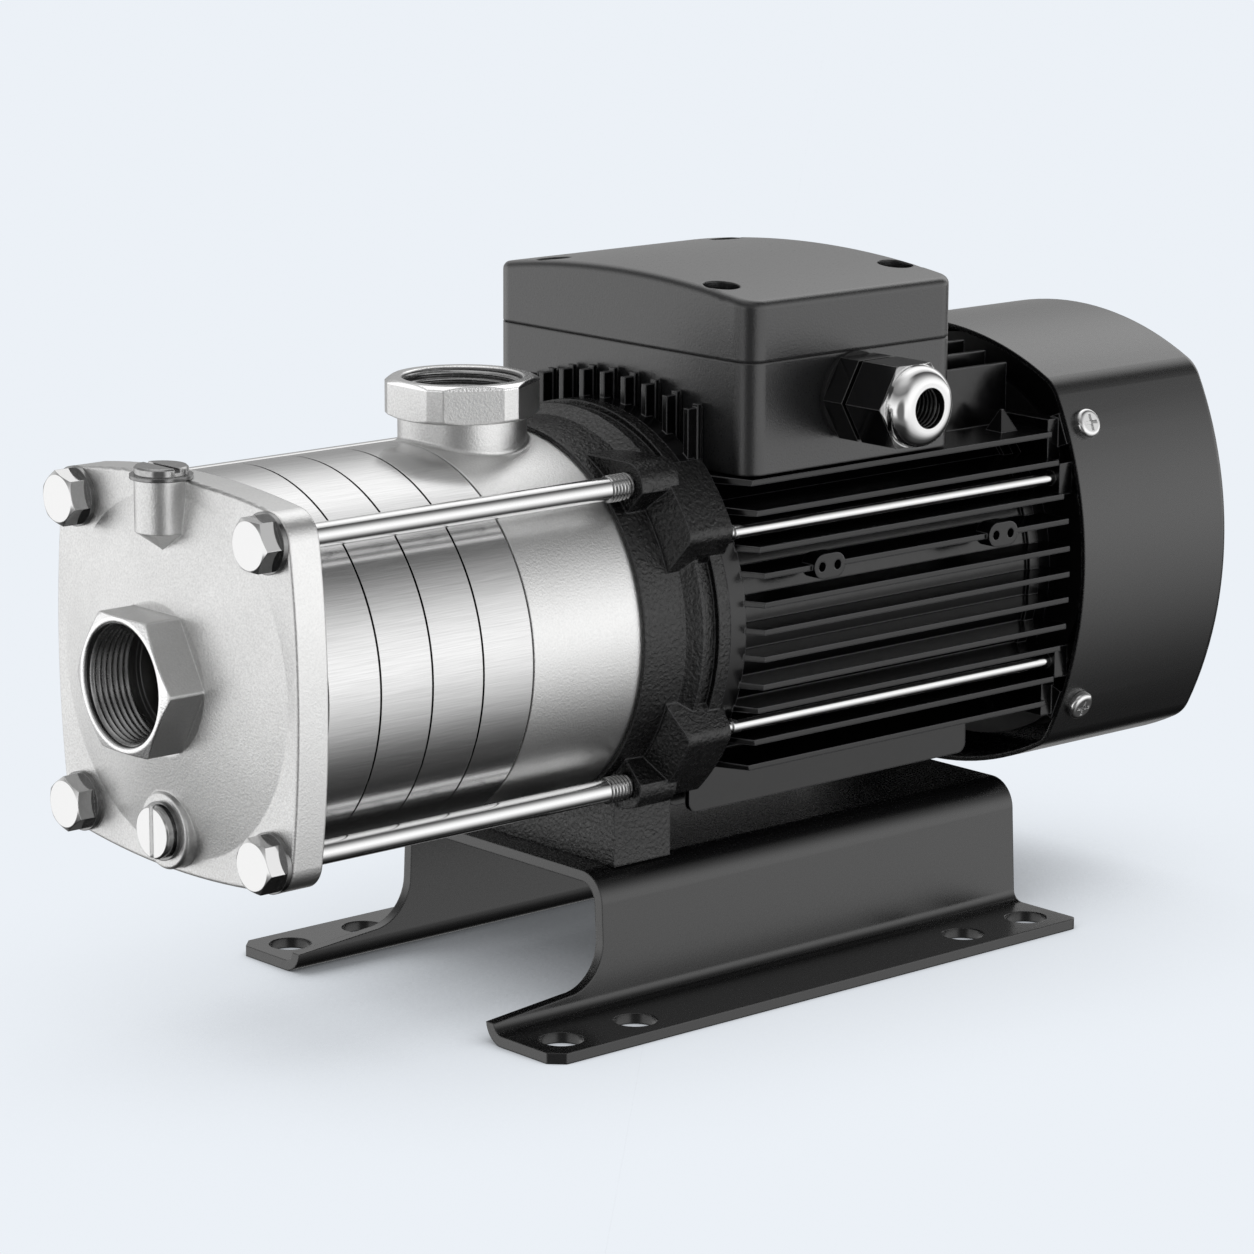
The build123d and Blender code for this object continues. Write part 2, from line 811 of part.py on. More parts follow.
# Discharge casing with its upright threaded port
discharge_inner = casing_radius - discharge_wall
hex_bottom = discharge_top - discharge_hex_height
port_axis = Axis((discharge_port_x, 0, 0), (0, 0, 1))
port_plane = Plane(origin=(discharge_port_x, 0, 0), x_dir=(1, 0, 0), z_dir=(0, -1, 0))
plate_back = socket_end
plate_front = plate_back - seal_plate_thickness
with BuildPart() as discharge_casing:
    ring(discharge_start, socket_end, casing_radius, 0)
    with BuildSketch(Plane(origin=(discharge_port_x, 0, axis_height))):
        Circle(neck_radius)
    extrude(amount=hex_bottom + 1 - axis_height)
    joint_edges = discharge_casing.edges().filter_by(
        lambda edge: abs(edge.center().X - discharge_port_x) < neck_radius
        and axis_height + casing_radius / 2 < edge.center().Z < axis_height + casing_radius + 1
        and edge.geom_type not in (GeomType.CIRCLE, GeomType.LINE)
    )
    fillet(joint_edges, neck_fillet)
    ring(
        discharge_start - 1,
        discharge_start + groove_width,
        casing_radius + 1,
        casing_radius - groove_depth,
        mode=Mode.SUBTRACT,
    )
    with BuildSketch(Plane(origin=(discharge_port_x, 0, hex_bottom))):
        RegularPolygon(discharge_flats / 2, 6, major_radius=False, rotation=30)
        RegularPolygon(discharge_corner, 6, major_radius=False, mode=Mode.INTERSECT)
    extrude(amount=discharge_hex_height)
    for level, step in ((discharge_top, 1), (hex_bottom, -1)):
        with BuildSketch(port_plane):
            with BuildLine():
                Polyline(
                    (discharge_corner - 2, level),
                    (discharge_corner + 1, level - step * discharge_bevel),
                    (discharge_corner + 1, level + step),
                    (discharge_corner - 2, level + step),
                    close=True,
                )
            make_face()
        revolve(axis=port_axis, mode=Mode.SUBTRACT)
    with BuildSketch(port_plane):
        with BuildLine():
            Polyline(
                (0, axis_height),
                (port_thread_radius, axis_height),
                (port_thread_radius, discharge_top - port_mouth_chamfer),
                (port_thread_radius + port_mouth_chamfer + 1, discharge_top + 1),
                (0, discharge_top + 1),
                close=True,
            )
        make_face()
    revolve(axis=port_axis, mode=Mode.SUBTRACT)
    turned(
        (discharge_start - 1, 0),
        (discharge_start - 1, casing_bore),
        (discharge_start + spigot_length + 1, casing_bore),
        (discharge_start + spigot_length + 1, discharge_inner),
        (plate_front, discharge_inner),
        (plate_front, casing_radius - 3),
        (socket_end + 1, casing_radius - 3),
        (socket_end + 1, 0),
        mode=Mode.SUBTRACT,
    )
save(discharge_casing, "discharge_casing")

# Hydraulics: impellers, guide wheels between them, wear rings and the spacers on the shaft
disc_step = 2 * axial_gap + 2 * shroud + blade_height
for stage in range(stage_count):
    start = stages_start + stage * stage_pitch
    end = start + stage_pitch
    disc_start = start + disc_step
    disc_end = disc_start + guide_plate
    with BuildPart() as diffuser:
        turned(
            (disc_end, guide_rim_inner),
            (disc_end, lip_inner - slip),
            (end - spigot_length - 1.5, lip_inner - slip),
            (end - spigot_length - 1.5, casing_bore - slip),
            (end - spigot_length, casing_bore - slip),
            (end - spigot_length, lip_inner - slip),
            (end, lip_inner - slip),
            (end, wear_ring_radius),
            (end - guide_plate, wear_ring_radius),
            (end - guide_plate, guide_rim_inner),
        )
        ring(disc_start, disc_end, guide_disc_radius, hub_radius + free_air)
        with BuildSketch(across(disc_end)):
            vanes(guide_vane_count, wear_ring_radius + 2, guide_rim_inner + 1, 55, blade_thickness)
        extrude(amount=end - guide_plate - disc_end)
    save(diffuser, f"diffuser_{stage + 1}")

    front_shroud = start + axial_gap
    passage = front_shroud + shroud
    back_shroud = passage + blade_height
    with BuildPart() as impeller:
        turned(
            (start - guide_plate + 0.2, impeller_eye),
            (start - guide_plate + 0.2, impeller_eye + impeller_eye_wall),
            (front_shroud, impeller_eye + impeller_eye_wall),
            (front_shroud, impeller_radius),
            (passage, impeller_radius),
            (passage, impeller_eye),
        )
        turned(
            (front_shroud, pump_shaft),
            (front_shroud, hub_radius - 2),
            (passage, hub_radius - 1),
            (back_shroud, hub_radius + 3),
            (back_shroud, impeller_radius),
            (back_shroud + shroud, impeller_radius),
            (back_shroud + shroud, hub_radius),
            (disc_start, hub_radius),
            (disc_start, pump_shaft),
        )
        with BuildSketch(across(passage)):
            vanes(blade_count, impeller_eye + 1, impeller_radius - 0.5, -75, blade_thickness)
        extrude(amount=blade_height)
    save(impeller, f"impeller_{stage + 1}")

with BuildPart() as wear_rings:
    for stage in range(stage_count):
        start = stages_start + stage * stage_pitch
        ring(start - guide_plate, start, wear_ring_radius, impeller_eye + impeller_eye_wall + running)
save(wear_rings, "wear_rings")

with BuildPart() as impeller_spacers:
    for stage in range(stage_count):
        spacer_start = stages_start + stage * stage_pitch + disc_step
        spacer_end = stages_start + (stage + 1) * stage_pitch + axial_gap
        if stage == stage_count - 1:
            spacer_end = seal_shaft_start
        ring(spacer_start, spacer_end, hub_radius - 1, pump_shaft)
save(impeller_spacers, "impeller_spacers")

stack_front = stages_start + axial_gap
nut_height = 7.0
with BuildPart() as impeller_nut:
    with BuildSketch(across(stack_front - nut_height)):
        RegularPolygon(pump_shaft + 2.5, 6, major_radius=False)
        Circle(pump_shaft, mode=Mode.SUBTRACT)
    extrude(amount=nut_height)
save(impeller_nut, "impeller_nut")

# Shaft, stepped for the impellers, the seal, the two bearings, the rotor and the fan
rear_bearing_end = rear_bearing_x + rear_bearing_width
fan_end = fan_x + fan_length
shaft_end = fan_end + 4
with BuildPart() as shaft:
    turned(
        (stack_front - shaft_nose, 0),
        (stack_front - shaft_nose, pump_shaft - 1),
        (stack_front - shaft_nose + 1, pump_shaft),
        (seal_shaft_start, pump_shaft),
        (seal_shaft_start, seal_shaft),
        (bearing_start, seal_shaft),
        (bearing_start, front_bearing_bore),
        (bracket_rear, front_bearing_bore),
        (bracket_rear, rotor_shaft),
        (rear_bearing_x, rotor_shaft),
        (rear_bearing_x, rear_bearing_bore),
        (rear_bearing_end, rear_bearing_bore),
        (rear_bearing_end, fan_shaft),
        (fan_end, fan_shaft),
        (fan_end, fan_shaft - 0.6),
        (fan_end + wave_thickness, fan_shaft - 0.6),
        (fan_end + wave_thickness, fan_shaft),
        (shaft_end, fan_shaft),
        (shaft_end, 0),
    )
save(shaft, "shaft")

# Shaft seal: plate, fixed seat, rotating ring and its bellows, and a slinger before the bearing
seat_front = plate_front - 1
seat_back = seat_front + seat_length
with BuildPart() as seal_plate:
    turned(
        (plate_front, seat_radius),
        (plate_front, casing_radius - 3 - slip),
        (plate_back, casing_radius - 3 - slip),
        (plate_back, seal_hub_radius + 2),
        (seat_back + 2, seal_hub_radius),
        (seat_back + 2, seat_radius - 3),
        (seat_back, seat_radius - 3),
        (seat_back, seat_radius),
    )
save(seal_plate, "seal_plate")

with BuildPart() as seal_seat:
    ring(seat_front, seat_back, seat_radius, seat_bore)
save(seal_seat, "seal_seat")

seal_ring_back = seat_front - seal_gap
seal_ring_front = seal_ring_back - seal_ring_length
with BuildPart() as seal_rotating_ring:
    turned(
        (seal_ring_front, seal_shaft),
        (seal_ring_front, seat_radius - 0.5),
        (seal_ring_back - 2, seat_radius - 0.5),
        (seal_ring_back - 1, seat_radius - 2),
        (seal_ring_back, seat_radius - 2),
        (seal_ring_back, seal_shaft),
    )
save(seal_rotating_ring, "seal_rotating_ring")

bellows_folds = 3
bellows_length = seal_ring_front - seal_shaft_start
with BuildPart() as seal_bellows:
    fold = bellows_length / (2 * bellows_folds)
    crest = [(seal_shaft_start + fold * step, seal_shaft + (2.2 if step % 2 else 4.5))
             for step in range(2 * bellows_folds + 1)]
    turned((seal_shaft_start, seal_shaft), *crest, (seal_ring_front, seal_shaft))
save(seal_bellows, "seal_bellows")

with BuildPart() as slinger:
    turned(
        (slinger_x - 3, seal_shaft),
        (slinger_x - 3, seal_shaft + 3),
        (slinger_x - 1, seal_shaft + 4),
        (slinger_x - 1, slinger_radius),
        (slinger_x + 1, slinger_radius),
        (slinger_x + 1, seal_shaft + 4),
        (slinger_x + 3, seal_shaft + 3),
        (slinger_x + 3, seal_shaft),
    )
save(slinger, "slinger")

# Bearings: the outer ring carries the shields and balls, the inner ring turns with the shaft
front_track = (front_bearing_bore + front_bearing_radius) / 2 - 1.5
rear_track = (rear_bearing_bore + rear_bearing_radius) / 2 - 1.5
with BuildPart() as front_bearing_outer:
    ring(bearing_start, bracket_rear, front_bearing_radius, front_track + race_gap)
save(front_bearing_outer, "front_bearing_outer")

with BuildPart() as front_bearing_inner:
    ring(bearing_start, bracket_rear, front_track, front_bearing_bore)
save(front_bearing_inner, "front_bearing_inner")

with BuildPart() as rear_bearing_outer:
    ring(rear_bearing_x, rear_bearing_end, rear_bearing_radius, rear_track + race_gap)
save(rear_bearing_outer, "rear_bearing_outer")

with BuildPart() as rear_bearing_inner:
    ring(rear_bearing_x, rear_bearing_end, rear_track, rear_bearing_bore)
save(rear_bearing_inner, "rear_bearing_inner")

with BuildPart() as wave_washer:
    ring(rear_bearing_end, rear_bearing_end + wave_thickness, rear_bearing_radius - slip, rear_track + 2)
save(wave_washer, "wave_washer")

# Motor frame: cast body with side fins, comb of top fins, bottom fins and the box's platform
flange_end = frame_front + flange_width
body_end = frame_rear - frame_rear_recess
skirt_half = top_fins[-1][0]
with BuildPart() as motor_frame:
    with BuildSketch(across(flange_end - 1)):
        for place, tip in side_fins:
            for level in {place, -place}:
                Polygon(
                    (tip, level - fin_tip / 2),
                    (tip, level + fin_tip / 2),
                    (0, level + fin_root / 2),
                    (-tip, level + fin_tip / 2),
                    (-tip, level - fin_tip / 2),
                    (0, level - fin_root / 2),
                    align=None,
                )
    extrude(amount=frame_rear - flange_end + 1)
    turned(
        (flange_end - 1, flange_radius - 0.5),
        (flange_end - 1 + fin_slope, flange_radius - 0.5 + fin_slope_rise),
        (flange_end - 1, flange_radius - 0.5 + fin_slope_rise),
        mode=Mode.SUBTRACT,
    )
    comb_start = frame_front + top_fin_front
    for fin_start, rise, spread in ((comb_start, 0, 0), (frame_front + top_fin_step, top_fin_step_rise, 0.6)):
        with BuildSketch(across(fin_start)):
            for place, tip in top_fins:
                for y in {place, -place}:
                    with Locations((y, (tip + rise) / 2)):
                        Rectangle(fin_thickness + spread, tip + rise)
        extrude(amount=box_front - free_air - 1 - fin_start)
    with BuildSketch(across(box_front - free_air - 1)):
        for place, tip in top_fins:
            for y in {place, -place}:
                with Locations((y, tip / 2)):
                    Rectangle(fin_thickness, tip)
    extrude(amount=frame_rear - box_front + free_air + 1)
    box_room = 2 * (lid_crown - box_bottom)
    with Locations((box_middle, 0, box_bottom - free_air + box_room / 2)):
        Box(box_length + 2 * free_air, 2 * box_half_width, box_room, mode=Mode.SUBTRACT)
    skirt_low = axis_height - skirt_drop
    for place, tip in top_fins:
        for y in {place, -place}:
            with BuildSketch(Plane.XZ.offset(-y)):
                with BuildLine():
                    FilletPolyline(
                        (flange_end - 1, axis_height),
                        (flange_end - 1, skirt_low),
                        (body_end - 10, skirt_low),
                        (body_end - 10, axis_height),
                        radius=skirt_corner,
                        close=True,
                    )
                make_face()
            extrude(amount=fin_thickness / 2, both=True)
    for y in (skirt_half - skirt_lip / 2, skirt_lip / 2 - skirt_half):
        with Locations(((flange_end + body_end - 10) / 2, y, skirt_low + fin_thickness / 2)):
            Box(body_end - 10 - flange_end - 2 * skirt_corner, skirt_lip + fin_thickness, fin_thickness)
    ring(flange_end - 1, frame_rear, frame_radius, frame_bore)
    ring(frame_front, flange_end, flange_radius, frame_bore)
    ring(rear_band_x, rear_band_x + rear_band_width, rear_band_radius, frame_bore)
    top_fin = Plane.XY.offset(axis_height + side_fins[-1][0])
    with BuildSketch(top_fin):
        with GridLocations(0.1, 2 * casting_mark_y, 1, 2):
            with Locations((casting_mark_x, 0)):
                Rectangle(2 * casting_mark_half, 2 * casting_mark_half)
    extrude(amount=casting_mark_height, taper=casting_mark_taper)
    platform_low = 40.0
    with BuildSketch(Plane.XY.offset(axis_height + platform_low)):
        with Locations((box_middle, 0)):
            Rectangle(box_length - 2 * box_wall - 2, 2 * platform_half)
    extrude(amount=platform_height - platform_low)
    with BuildSketch(Plane.XY.offset(axis_height + platform_height)):
        for side, level in quadrants:
            with Locations((box_middle + side * box_screw_x, level * box_screw_y)):
                Circle(box_screw_radius)
    extrude(amount=-box_screw_depth, mode=Mode.SUBTRACT)
    for side in (1, -1):
        pad_plane = Plane(
            origin=(0, side * pad_reach, axis_height + side_fins[2][0]), x_dir=(1, 0, 0), z_dir=(0, -side, 0)
        )
        with BuildSketch(pad_plane):
            with Locations((pad_x[0], 0), (pad_x[1], 0)):
                SlotOverall(pad_length, pad_width)
        extrude(amount=7)
        with BuildSketch(pad_plane):
            for x in pad_x:
                with Locations((x - pad_hole_pitch / 2, 0), (x + pad_hole_pitch / 2, 0)):
                    Circle(pad_hole_radius)
        extrude(amount=5, mode=Mode.SUBTRACT)
    ring(frame_front, frame_rear + 1, frame_bore, 0, mode=Mode.SUBTRACT)
    ring(frame_front, frame_front + frame_spigot, frame_spigot_radius, 0, mode=Mode.SUBTRACT)
    ring(body_end, frame_rear + 1, shield_ring_radius + slip, 0, mode=Mode.SUBTRACT)
save(motor_frame, "motor_frame")

# Stator, windings and rotor
stator_end = stator_start + stator_length
with BuildPart() as stator_core:
    ring(stator_start, stator_end, frame_bore, stator_bore)
save(stator_core, "stator_core")

with BuildPart() as stator_windings:
    turned(
        (stator_start, winding_inner),
        (stator_start, winding_outer),
        (stator_start - winding_reach + 5, winding_outer),
        (stator_start - winding_reach, winding_outer - 5),
        (stator_start - winding_reach, winding_inner + 3),
        (stator_start - winding_reach + 3, winding_inner),
    )
    turned(
        (stator_end, winding_inner),
        (stator_end, winding_outer),
        (stator_end + winding_reach - 5, winding_outer),
        (stator_end + winding_reach, winding_outer - 5),
        (stator_end + winding_reach, winding_inner + 3),
        (stator_end + winding_reach - 3, winding_inner),
    )
save(stator_windings, "stator_windings")

with BuildPart() as rotor_core:
    ring(stator_start, stator_end, stator_bore - air_gap, rotor_shaft)
save(rotor_core, "rotor_core")

# Rear end shield with the rear bearing's seat, the rod lugs and the fan cover's lugs
shield_face = body_end + 4
shield_hub = rear_bearing_radius + bearing_hub_wall
lug_half = 6.0
lug_depth = 14.0
rod_lug_end = frame_rear + 7
screw_y, screw_lean = bow(fan_cover_side, fan_cover_corner_y, fan_cover_corner_z, cover_screw_z)


def screw_plane(side, level, height):
    """A plane on the fan cover's bowed side at one of its four screws, raised by a height."""
    outward = (0, side * math.cos(math.radians(screw_lean)), level * math.sin(math.radians(screw_lean)))
    seat = (cover_screw_x, side * screw_y, axis_height + level * cover_screw_z)
    return Plane(origin=seat, x_dir=(1, 0, 0), z_dir=outward).offset(height)


with BuildPart() as rear_end_shield:
    ring(body_end - 6, body_end, frame_bore - slip, frame_bore - 5)
    ring(body_end, body_end + shield_ring_length, shield_ring_radius, shield_ring_radius - 8)
    ring(shield_face, shield_face + shield_disc, shield_ring_radius - 7, shield_hub - 1)
    ring(rear_bearing_x, shield_face + shield_disc, shield_hub, 0)
    with BuildSketch(across(frame_rear + free_air)):
        for side, level in quadrants:
            with Locations((side * (motor_rod_y - 5), level * motor_rod_z)):
                Rectangle(20, 2 * lug_half)
            with Locations((side * (screw_y - 15), level * (cover_screw_z - 6))):
                Rectangle(22, 3 * lug_half)
    extrude(amount=rod_lug_end - frame_rear - free_air)
    for side, level in quadrants:
        with BuildSketch(screw_plane(side, level, -fan_cover_wall - slip)):
            Rectangle(2 * (cover_screw_x - rod_lug_end + 1), 2 * lug_half)
        extrude(amount=-lug_depth)
    ring(body_end - 1, cover_screw_x + 20, shield_ring_radius - 8, shield_hub + 1, mode=Mode.SUBTRACT)
    ring(shield_face, shield_face + shield_disc, shield_ring_radius - 7, shield_hub - 1)
    ring(rear_bearing_x - 1, rear_bearing_end + wave_thickness, rear_bearing_radius, 0, mode=Mode.SUBTRACT)
    ring(rear_bearing_x, shield_face + shield_disc + 1, rear_bearing_bore + 2, 0, mode=Mode.SUBTRACT)
    with BuildSketch(across(frame_rear)):
        for side, level in quadrants:
            with Locations((side * motor_rod_y, level * motor_rod_z)):
                Circle(motor_rod_radius + slip)
    extrude(amount=20, mode=Mode.SUBTRACT)
    for side, level in quadrants:
        with BuildSketch(screw_plane(side, level, 0)):
            Circle(cover_screw_shank)
        extrude(amount=-lug_depth, mode=Mode.SUBTRACT)
save(rear_end_shield, "rear_end_shield")

# Long rods that hold the frame between the bracket's ears and the rear end shield
with BuildPart() as motor_rods:
    with BuildSketch(across(ear_block_end - motor_rod_depth)):
        for side, level in quadrants:
            with Locations((side * motor_rod_y, level * motor_rod_z)):
                Circle(motor_rod_neck)
    extrude(amount=motor_rod_depth + motor_rod_neck_end)
    with BuildSketch(across(ear_block_end + motor_rod_neck_end)):
        for side, level in quadrants:
            with Locations((side * motor_rod_y, level * motor_rod_z)):
                Circle(motor_rod_radius)
    extrude(amount=rod_lug_end + motor_nut_height + motor_rod_stub - ear_block_end - motor_rod_neck_end)
save(motor_rods, "motor_rods")

with BuildPart() as motor_rod_nuts:
    with BuildSketch(across(rod_lug_end)):
        for side, level in quadrants:
            with Locations((side * motor_rod_y, level * motor_rod_z)):
                RegularPolygon(motor_nut_flats / 2, 6, major_radius=False)
                Circle(motor_rod_radius, mode=Mode.SUBTRACT)
    extrude(amount=motor_nut_height)
save(motor_rod_nuts, "motor_rod_nuts")

# Fan with straight blades on a dished disc, and the clip that keeps it on the shaft
with BuildPart() as fan:
    ring(fan_x, fan_end, fan_hub_radius, fan_shaft)
    turned(
        (fan_x + fan_dish, fan_hub_radius - 1),
        (fan_x, fan_radius - fan_rim),
        (fan_x, fan_radius),
        (fan_x + fan_blade, fan_radius),
        (fan_x + fan_blade, fan_radius - fan_rim),
        (fan_x + fan_dish + fan_blade, fan_hub_radius - 1),
    )
    with BuildSketch(across(fan_x + 1)):
        with PolarLocations((fan_radius + fan_blade_root) / 2, fan_blade_count):
            Rectangle(fan_radius - fan_blade_root, fan_blade)
    extrude(amount=fan_length - 3)
save(fan, "fan")

with BuildPart() as fan_clip:
    ring(fan_end, fan_end + wave_thickness, fan_shaft + 2.5, fan_shaft - 0.6)
save(fan_clip, "fan_clip")

# Fan cover: deep drawn hood with rings of slots in its back
fan_cover_end = fan_cover_start + fan_cover_length
hood_outline = (
    fan_cover_side,
    fan_cover_crown,
    fan_cover_corner_y,
    fan_cover_corner_z,
    fan_cover_corner_radius,
)
with BuildPart() as fan_cover:
    with BuildSketch(across(fan_cover_start)):
        bulged(*hood_outline)
    extrude(amount=fan_cover_length)
    fillet(fan_cover.faces().sort_by(Axis.X)[-1].edges(), fan_cover_rear_radius)
    with BuildSketch(across(fan_cover_start)):
        bulged(*hood_outline, fan_cover_wall)
    extrude(amount=fan_cover_length - fan_cover_wall, mode=Mode.SUBTRACT)
    with BuildSketch(across(fan_cover_end)):
        for slot_radius in sorted(grille_rings, reverse=True):
            Circle(slot_radius + grille_slot / 2)
            Circle(slot_radius - grille_slot / 2, mode=Mode.SUBTRACT)
        for angle in (45, 135):
            Rectangle(2 * fan_cover_crown, 6, rotation=angle, mode=Mode.SUBTRACT)
    extrude(amount=-2 * fan_cover_wall, mode=Mode.SUBTRACT)
    for side, level in quadrants:
        with BuildSketch(screw_plane(side, level, 1)):
            Circle(cover_screw_shank + 0.2)
        extrude(amount=-fan_cover_wall - 3, mode=Mode.SUBTRACT)
save(fan_cover, "fan_cover")

# Pan head screws of the fan cover, square to its bowed sides
with BuildPart() as fan_cover_screws:
    for side, level in quadrants:
        with BuildSketch(screw_plane(side, level, 0)):
            Circle(cover_screw_radius)
        extrude(amount=cover_screw_head)
    fillet(
        fan_cover_screws.edges().filter_by(GeomType.CIRCLE).filter_by(
            lambda edge: abs(edge.center().Y) > screw_y + 1
        ),
        cover_screw_head * 0.6,
    )
    for side, level in quadrants:
        with BuildSketch(screw_plane(side, level, 0)):
            Circle(cover_screw_shank)
        extrude(amount=-lug_depth + 3)
        with BuildSketch(screw_plane(side, level, cover_screw_head)):
            Rectangle(6.4, 1.3)
            Rectangle(1.3, 6.4)
        extrude(amount=-cover_screw_head * 0.5, mode=Mode.SUBTRACT)
save(fan_cover_screws, "fan_cover_screws")

# Terminal box: a tray astride the frame, its floor on the frame's platform, with the flat
# gasket under the floor and the thin one under the lid
gasket_level = axis_height + platform_height
floor_level = gasket_level + box_gasket
tray_top = box_split - lid_seal / 2
column_places = [
    (box_middle + side * lid_screw_half_x, level * lid_screw_half_y) for side, level in quadrants
]
box_screw_places = [(box_middle + side * box_screw_x, level * box_screw_y) for side, level in quadrants]
gland_plane = Plane(origin=(gland_x, -box_half_width, gland_z), x_dir=(1, 0, 0), z_dir=(0, -1, 0))
box_outside = (box_length, 2 * box_half_width)
box_inside = (box_length - 2 * box_wall, 2 * (box_half_width - box_wall))
box_inner_radius = box_corner_radius - box_wall
with BuildPart() as terminal_box_gaskets:
    with BuildSketch(Plane.XY.offset(gasket_level)):
        with Locations((box_middle, 0)):
            Rectangle(box_length - 2 * box_wall - 4, 2 * platform_half - 2)
            Rectangle(box_length - 2 * box_wall - 20, 2 * platform_half - 18, mode=Mode.SUBTRACT)
        for place in box_screw_places:
            with Locations(place):
                Circle(4.5)
                Circle(box_screw_radius + 0.2, mode=Mode.SUBTRACT)
    extrude(amount=box_gasket)
    with BuildSketch(Plane.XY.offset(tray_top)):
        with Locations((box_middle, 0)):
            RectangleRounded(box_outside[0] - 1.2, box_outside[1] - 1.2, box_corner_radius - 0.6)
            RectangleRounded(*box_inside, box_inner_radius, mode=Mode.SUBTRACT)
    extrude(amount=lid_seal)
save(terminal_box_gaskets, "terminal_box_gaskets")

with BuildPart() as terminal_box:
    with BuildSketch(Plane.XY.offset(box_bottom)):
        with Locations((box_middle, 0)):
            RectangleRounded(*box_outside, box_corner_radius)
    extrude(amount=tray_top - box_bottom)
    with BuildSketch(Plane.XY.offset(floor_level + box_floor)):
        with Locations((box_middle, 0)):
            RectangleRounded(*box_inside, box_inner_radius)
    extrude(amount=tray_top - floor_level, mode=Mode.SUBTRACT)
    with BuildSketch(Plane.XY.offset(box_bottom + box_wall)):
        with Locations((box_middle, 0)):
            RectangleRounded(*box_inside, box_inner_radius)
            Rectangle(box_length, 2 * (platform_half + free_air + box_wall), mode=Mode.SUBTRACT)
    extrude(amount=floor_level + box_floor - box_bottom, mode=Mode.SUBTRACT)
    with BuildSketch(Plane.XY.offset(box_bottom - 1)):
        with Locations((box_middle, 0)):
            Rectangle(box_inside[0], 2 * (platform_half + free_air))
    extrude(amount=floor_level - box_bottom + 1, mode=Mode.SUBTRACT)
    with BuildSketch(Plane.XY.offset(floor_level + 1)):
        with Locations(*column_places):
            Circle(lid_column_radius - 2)
    extrude(amount=tray_top - floor_level - 1)
    ring(box_front - 1, box_rear + 1, frame_radius + free_air, 0, mode=Mode.SUBTRACT)
    with BuildSketch(Plane.XY.offset(tray_top)):
        with Locations(*column_places):
            Circle(lid_screw_radius)
    extrude(amount=-16, mode=Mode.SUBTRACT)
    with BuildSketch(Plane.XY.offset(floor_level)):
        with Locations(*box_screw_places):
            Circle(box_screw_radius + 0.2)
        with Locations((box_middle, 0)):
            Circle(12)
    extrude(amount=box_floor, mode=Mode.SUBTRACT)
    with BuildSketch(gland_plane):
        Circle(gland_thread_radius)
    extrude(amount=-box_wall, mode=Mode.SUBTRACT)
save(terminal_box, "terminal_box")

with BuildPart() as terminal_box_screws:
    with BuildSketch(Plane.XY.offset(floor_level + box_floor)):
        with Locations(*box_screw_places):
            Circle(4.2)
    extrude(amount=2.8)
    with BuildSketch(Plane.XY.offset(floor_level + box_floor)):
        with Locations(*box_screw_places):
            Circle(box_screw_radius)
    extrude(amount=-box_floor - box_gasket - box_screw_depth + 1)
save(terminal_box_screws, "terminal_box_screws")

# Terminal block on two feet, and its six brass posts
board_level = floor_level + box_floor + 4
with BuildPart() as terminal_board:
    with BuildSketch(Plane.XY.offset(board_level)):
        with Locations((box_middle + 4, 8)):
            RectangleRounded(56, 34, 3)
    extrude(amount=7)
    with BuildSketch(Plane.XY.offset(board_level + 7)):
        with Locations((box_middle + 4, 8)):
            with GridLocations(15, 0.1, 4, 1):
                Rectangle(1.6, 30)
    extrude(amount=3)
    with BuildSketch(Plane.XY.offset(floor_level + box_floor)):
        with Locations((box_middle + 4, 8)):
            with GridLocations(46, 24, 2, 2):
                Circle(3)
    extrude(amount=4)
save(terminal_board, "terminal_board")

with BuildPart() as terminal_posts:
    with BuildSketch(Plane.XY.offset(board_level + 7)):
        with Locations((box_middle + 4, 8)):
            with GridLocations(15, 16, 3, 2):
                RegularPolygon(3.5, 6, major_radius=False)
    extrude(amount=3)
    with BuildSketch(Plane.XY.offset(board_level + 7)):
        with Locations((box_middle + 4, 8)):
            with GridLocations(15, 16, 3, 2):
                Circle(2)
    extrude(amount=8)
save(terminal_posts, "terminal_posts")

# Lid with a crowned top and four sunk screws
lid_bottom = box_split + lid_seal / 2


def crowned_block(length, width, corner_radius, drop):
    """A rounded block above the split whose top is part of the lid's crown, lowered by a drop."""
    with BuildSketch(Plane.XY.offset(lid_bottom)) as footprint:
        with Locations((box_middle, 0)):
            RectangleRounded(length, width, corner_radius)
    block = extrude(footprint.sketch, amount=lid_crown - lid_bottom, mode=Mode.PRIVATE)
    with BuildSketch(Plane.YZ.offset(box_front - 1)) as arch:
        with BuildLine() as outline:
            half = width / 2 + 1
            crown = lid_crown - drop
            shoulder = crown - lid_crown_radius + math.sqrt(lid_crown_radius ** 2 - half ** 2)
            Polyline((half, shoulder), (half, lid_bottom - 1), (-half, lid_bottom - 1), (-half, shoulder))
            ThreePointArc((-half, shoulder), (0, crown), (half, shoulder))
        make_face(outline.edges())
    return block & extrude(arch.sketch, amount=box_length + 2, mode=Mode.PRIVATE)


